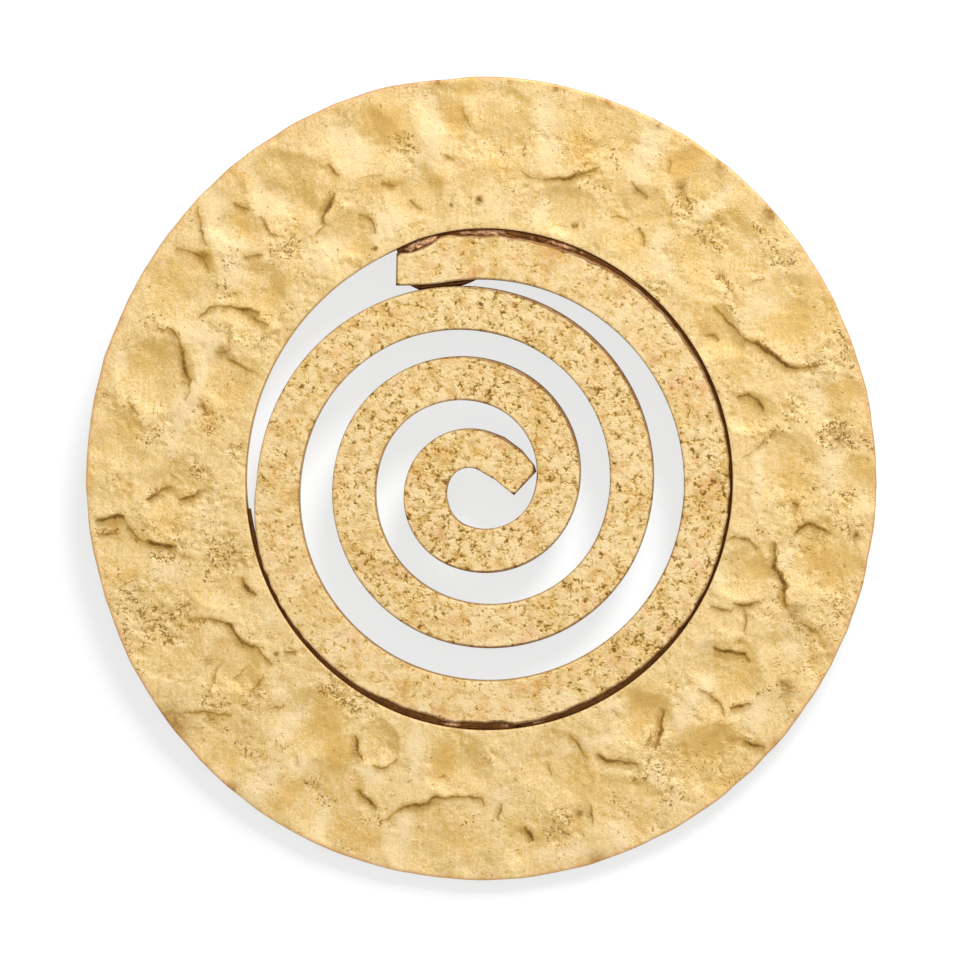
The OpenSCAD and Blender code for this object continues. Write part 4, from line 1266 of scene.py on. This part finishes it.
def strip_tree():
    """Geometry nodes that sweep a section along a path between its two edges and stipple its upper
    face."""
    tree = bpy.data.node_groups.new("sweep_stippled_strip", "GeometryNodeTree")
    tree.is_modifier = True
    sockets = (
        ("Path", "NodeSocketGeometry", None),
        ("Section", "NodeSocketObject", None),
        ("Thickness", "NodeSocketFloat", 1.2),
        ("Stipple Depth", "NodeSocketFloat", 0.05),
        ("Stipple Size", "NodeSocketFloat", 0.7),
        ("Seed", "NodeSocketFloat", 5.0),
        ("Material", "NodeSocketMaterial", None),
    )
    for name, kind, default in sockets:
        socket = tree.interface.new_socket(name, in_out="INPUT", socket_type=kind)
        if default is not None:
            socket.default_value = default
    tree.interface.new_socket("Strip", in_out="OUTPUT", socket_type="NodeSocketGeometry")
    node = functools.partial(add_node, tree)
    given = node("given")

    path = node("curve", given["Path"])
    outline = node("curve", node("object", given["Section"]))
    swept = node("sweep", path, outline)

    inner = node("named", "inner", data_type="FLOAT_VECTOR")
    outer = node("named", "outer", data_type="FLOAT_VECTOR")
    across = node("named", "across")
    height = node("named", "height")
    crossing = node("vector scale", node("vector -", outer, inner), across)
    place = node("vector +", node("vector +", inner, crossing), node("upwards", height))
    placed = node("place", swept, place)

    on_top = node("is over", height, node("-", given["Thickness"], 0.01))
    scale = node("/", 1.0, given["Stipple Size"])
    stipple = node("seeded noise", node("position"), given["Seed"], scale)
    rise = node("*", node("-", stipple, 0.5), node("*", given["Stipple Depth"], 2.0))
    stippled = node("shift", placed, node("upwards", node("*", rise, on_top)))
    node("result", node("set material", node("realize", stippled), given["Material"]))
    return tree


def made_by_nodes(holder, tree, values, name):
    """Plain mesh that a tree makes from the holder, with its inputs set by name."""
    modifier = holder.modifiers.new("Nodes", "NODES")
    modifier.node_group = tree
    items = tree.interface.items_tree
    identifiers = {item.name: item.identifier for item in items if item.in_out == "INPUT"}
    for key, value in values.items():
        modifier[identifiers[key]] = value
    bpy.context.view_layer.update()
    graph = bpy.context.evaluated_depsgraph_get()
    mesh = bpy.data.meshes.new_from_object(holder.evaluated_get(graph), depsgraph=graph)
    mesh.name = name
    holder.modifiers.remove(modifier)
    return mesh


class EARRING_OT_hammered_disc(bpy.types.Operator):
    """Builds the hammered disc with its marks, creases, pits and stains"""
    bl_idname = "earring.hammered_disc"
    bl_label = "Hammered Disc"

    def execute(self, context):
        rings, attributes = disc_rings(context.scene.earring_sizes)
        mesh = ring_mesh("hammered_disc_looks", rings, attributes)
        material = hammered_brass(context.scene.earring_colours)
        finish_piece("hammered_brass_disc", mesh, material, "hammered_brass", "hammered_disc")
        return {"FINISHED"}


class EARRING_OT_spiral_strip(bpy.types.Operator):
    """Builds the spiral strip by sweeping its section along the spiral"""
    bl_idname = "earring.spiral_strip"
    bl_label = "Spiral Strip"

    def execute(self, context):
        sizes = context.scene.earring_sizes
        outer, inner, marks = strip_path(sizes)
        flat = np.zeros((len(outer), 1))
        outer = np.concatenate([outer, flat], axis=1)
        inner = np.concatenate([inner, flat], axis=1)
        path = line_object("strip_path", (outer + inner) / 2, {"outer": outer, "inner": inner, **marks})
        across, height = strip_section(sizes).T
        corners = np.stack([across, height, np.zeros(len(across))], axis=1)
        shares = {"across": across, "height": height}
        section = line_object("strip_section", corners, shares, closed=True)
        material = stippled_brass(context.scene.earring_colours)
        values = {
            "Section": section,
            "Thickness": sizes.strip_thickness / MM,
            "Stipple Depth": sizes.stipple_depth / MM,
            "Material": material,
        }
        mesh = made_by_nodes(path, strip_tree(), values, "spiral_strip_looks")
        for helper in (path, section):
            bpy.data.objects.remove(helper, do_unlink=True)
        mesh.transform(Matrix.Scale(MM, 4))
        outwards(mesh)
        finish_piece("stippled_brass_spiral", mesh, material, "flat_brass_strip", "spiral_strip")
        return {"FINISHED"}


def outwards(mesh):
    """Turns every face outwards."""
    shell = bmesh.new()
    shell.from_mesh(mesh)
    bmesh.ops.recalc_face_normals(shell, faces=shell.faces)
    shell.to_mesh(mesh)
    shell.free()


def seam_rows():
    """Lines of the solder that runs along the seam, in mm, one for each corner of its section. With
    them, how lumpy it is along the seam and how far across each corner lies."""
    clock = np.arange(*SEAM_ENDS, 0.5)
    hole = round_profile(HOLE, clock)
    seam = round_profile(SEAM, clock, 1.2)
    along = dial(clock, hole)
    level = 0.78 + 0.06 * ripples(along, 51, 1.5, 5)
    lump = np.zeros(len(clock))
    for first, last, high, lumpy in SOLDER_LUMPS:
        away = (clock - (first + last) / 2 + 180) % 360 - 180
        share = np.clip(1 - (np.abs(away) / ((last - first) / 2)) ** 4, 0, 1) ** 0.5
        crest = high + 0.06 * lumpy * ripples(along, 52, 0.5, 1.6)
        level = np.maximum(level, share * crest)
        lump = np.maximum(lump, share * lumpy)
    rows = []
    for across, rise in SEAM_SECTION:
        wave = 1 + 0.1 * lump * ripples(dial(clock, hole - across * 2), 53, 0.4, 1.0)
        height = SOLDER_FOOT + (level - SOLDER_FOOT) * rise * (wave if 0 < rise else 1)
        rows.append(np.concatenate([dial(clock, hole - across * seam), height[:, None]], axis=1))
    return np.stack(rows), lump, [across for across, _ in SEAM_SECTION]


def joint_solder_and_shade_rows(sizes):
    """The same for the joint where the strip's outer end bears on the next turn: solder, and a dark fill
    that is painted shade deep in the narrow gap there.
    """
    outer, inner, _ = strip_path(sizes)
    first, last = JOINT_ENDS
    right = np.linspace(first, last, 40)
    # The fill thins and sinks towards the right, where the painted shade in the gap fades.
    open_up = np.clip((right + 1.8) / 1.6, 0, 1) ** 1.5
    ends = inner[:60][np.argsort(inner[:60, 0])]
    # The part of the next turn that runs below the strip's outer end.
    over = outer[(outer[:, 1] > 13) & (outer[:, 1] < 15.9) & (outer[:, 0] > -6) & (outer[:, 0] < 1)]
    over = over[np.argsort(over[:, 0])]
    high = np.interp(right, ends[:, 0], ends[:, 1]) + 0.04
    low = np.interp(right, over[:, 0], over[:, 1]) - 0.04
    low = np.maximum(low, high - np.clip(0.1 + 0.5 * (right - first), 0, 9))
    low = low + (high - 0.06 - low) * open_up
    foot = np.full(len(right), JOINT_FOOT)
    crown = 0.75 - 0.3 * open_up
    corners = ((low, foot), (low, crown), (high, crown), (high, foot))
    rows = np.stack([np.stack([right, side, top], axis=1) for side, top in corners])
    return rows, np.zeros(len(right)), [0, 0, 1, 1]


class EARRING_OT_seam_solder(bpy.types.Operator):
    """Builds the solder that has run into the seam round the spiral"""
    bl_idname = "earring.seam_solder"
    bl_label = "Seam Solder"

    def execute(self, context):
        places = []
        quads = []
        lumps = []
        acrosses = []
        for rows, lumpiness, shares in (seam_rows(), joint_solder_and_shade_rows(context.scene.earring_sizes)):
            count, size, _ = rows.shape
            index = np.arange(count * size).reshape(count, size) + sum(len(part) for part in places)
            for a, b in zip(index, np.roll(index, -1, axis=0)):
                quads += np.stack([a[:-1], a[1:], b[1:], b[:-1]], axis=1).tolist()
            quads += [index[:, 0].tolist(), index[::-1, -1].tolist()]
            places.append(rows.reshape(-1, 3))
            lumps.append(np.tile(lumpiness, count))
            acrosses.append(np.repeat(shares, size))
        mesh = bpy.data.meshes.new("seam_solder_looks")
        mesh.from_pydata((np.concatenate(places) * MM).tolist(), [], quads)
        hold_values(mesh, {"lump": np.concatenate(lumps), "across": np.concatenate(acrosses)})
        outwards(mesh)
        material = burnt_solder(context.scene.earring_colours)
        finish_piece("burnt_seam_solder", mesh, material, "flat_brass_strip")
        return {"FINISHED"}


class EARRING_OT_ear_clip(bpy.types.Operator):
    """Rounds the edges of the ear clip's solid and gives it its finish"""
    bl_idname = "earring.ear_clip"
    bl_label = "Ear Clip"

    def execute(self, context):
        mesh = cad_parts["ear_clip"].data.copy()
        mesh.name = "ear_clip_looks"
        shell = bmesh.new()
        shell.from_mesh(mesh)
        flat = math.radians(1)
        sharp = math.radians(40)
        bmesh.ops.remove_doubles(shell, verts=shell.verts, dist=1e-6)
        bmesh.ops.dissolve_limit(shell, angle_limit=flat, verts=shell.verts, edges=shell.edges)
        rounded = [e for e in shell.edges if len(e.link_faces) == 2 and e.calc_face_angle() > sharp]
        bmesh.ops.bevel(
            shell, geom=rounded, offset=CLIP_ROUNDING * MM, segments=3, profile=0.5, affect="EDGES",
            clamp_overlap=True,
        )
        bmesh.ops.recalc_face_normals(shell, faces=shell.faces)
        shell.to_mesh(mesh)
        shell.free()
        mesh.transform(rest_matrix().inverted())
        material = clip_spring_brass(context.scene.earring_colours)
        clip = finish_piece("spring_ear_clip", mesh, material, "clip_brass", "ear_clip")
        clip.data.set_sharp_from_angle(angle=math.radians(35))
        return {"FINISHED"}


def add_area_light(name, clock, elevation, size, power):
    """Square soft light that faces the earring from a clock angle and an elevation, both in degrees."""
    lamp = bpy.data.lights.new(name, "AREA")
    lamp.shape = "SQUARE"
    lamp.size = size
    lamp.energy = power
    light = bpy.data.objects.new(name, lamp)
    bpy.context.scene.collection.objects.link(light)
    side, up = dial(clock, math.cos(math.radians(elevation)))
    direction = Vector((side, up, math.sin(math.radians(elevation))))
    light.location = direction * LAMP_DISTANCE
    light.rotation_euler = direction.to_track_quat("Z", "Y").to_euler()
    light.visible_camera = False
    return light


class EARRING_OT_stage(bpy.types.Operator):
    """Adds the white floor, the soft lights and the camera over the earring"""
    bl_idname = "earring.stage"
    bl_label = "White Stage"

    def execute(self, context):
        scene = context.scene
        mesh = bpy.data.meshes.new("white_floor")
        size = FLOOR_HALF_SIZE
        corners = [(x * size, y * size, -FLOOR_DROP * MM) for x, y in ((-1, -1), (1, -1), (1, 1), (-1, 1))]
        mesh.from_pydata(corners, [], [(0, 1, 2, 3)])
        mesh.materials.append(white_sheet(scene.earring_colours))
        floor = bpy.data.objects.new("white_floor", mesh)
        scene.collection.objects.link(floor)

        world = bpy.data.worlds.new("studio")
        world.use_nodes = True
        background = world.node_tree.nodes["Background"]
        background.inputs["Color"].default_value = linear("#ffffff")
        background.inputs["Strength"].default_value = ROOM_LIGHT
        scene.world = world
        scene.view_settings.view_transform = "Standard"

        add_area_light("upper_softbox", 25, 62, 0.9, 3.0)
        add_area_light("low_softbox", 30, 30, 0.5, 3.2)
        # This one lights the sheet alone, so that the shadow to the lower left is as strong as in the
        # photo.
        shadow_light = add_area_light("shadow_softbox", 24, 33, 0.3, 32.0)
        lit = bpy.data.collections.new("lit_by_shadow_softbox")
        lit.objects.link(floor)
        shadow_light.light_linking.receiver_collection = lit

        lens = bpy.data.cameras.new("camera")
        lens.lens = LENS
        lens.clip_start = 0.01
        camera = bpy.data.objects.new("camera", lens)
        scene.collection.objects.link(camera)
        centre = Vector((0, REST_SHIFT * MM, REST_LIFT * MM))
        back = Vector((math.sin(CAMERA_LEAN), 0, math.cos(CAMERA_LEAN)))
        camera.location = centre + back * (FRAME_WIDTH * MM * lens.lens / lens.sensor_width)
        camera.rotation_euler = (0, CAMERA_LEAN, 0)
        scene.camera = camera
        return {"FINISHED"}


OPERATORS = (
    EARRING_OT_hammered_disc,
    EARRING_OT_spiral_strip,
    EARRING_OT_seam_solder,
    EARRING_OT_ear_clip,
    EARRING_OT_stage,
)


class EARRING_PT_panel(bpy.types.Panel):
    """Sizes, colours and steps of the earring"""
    bl_idname = "EARRING_PT_panel"
    bl_label = "Spiral Disc Earring"
    bl_space_type = "VIEW_3D"
    bl_region_type = "UI"
    bl_category = "Earring"

    def draw(self, context):
        for group in (context.scene.earring_sizes, context.scene.earring_colours):
            box = self.layout.box()
            for name in group.bl_rna.properties.keys():
                if name not in ("rna_type", "name"):
                    box.prop(group, name)
        for operator in OPERATORS:
            self.layout.operator(operator.bl_idname)


CLASSES = (EarringSizes, EarringColours, *OPERATORS, EARRING_PT_panel)


def register():
    for cls in CLASSES:
        bpy.utils.register_class(cls)
    bpy.types.Scene.earring_sizes = bpy.props.PointerProperty(type=EarringSizes)
    bpy.types.Scene.earring_colours = bpy.props.PointerProperty(type=EarringColours)


def unregister():
    del bpy.types.Scene.earring_colours
    del bpy.types.Scene.earring_sizes
    for cls in reversed(CLASSES):
        bpy.utils.unregister_class(cls)


def main():
    register()
    bpy.ops.earring.hammered_disc()
    bpy.ops.earring.spiral_strip()
    bpy.ops.earring.seam_solder()
    bpy.ops.earring.ear_clip()
    bpy.ops.earring.stage()
    bpy.context.view_layer.update()


if __name__ == "__main__":
    main()
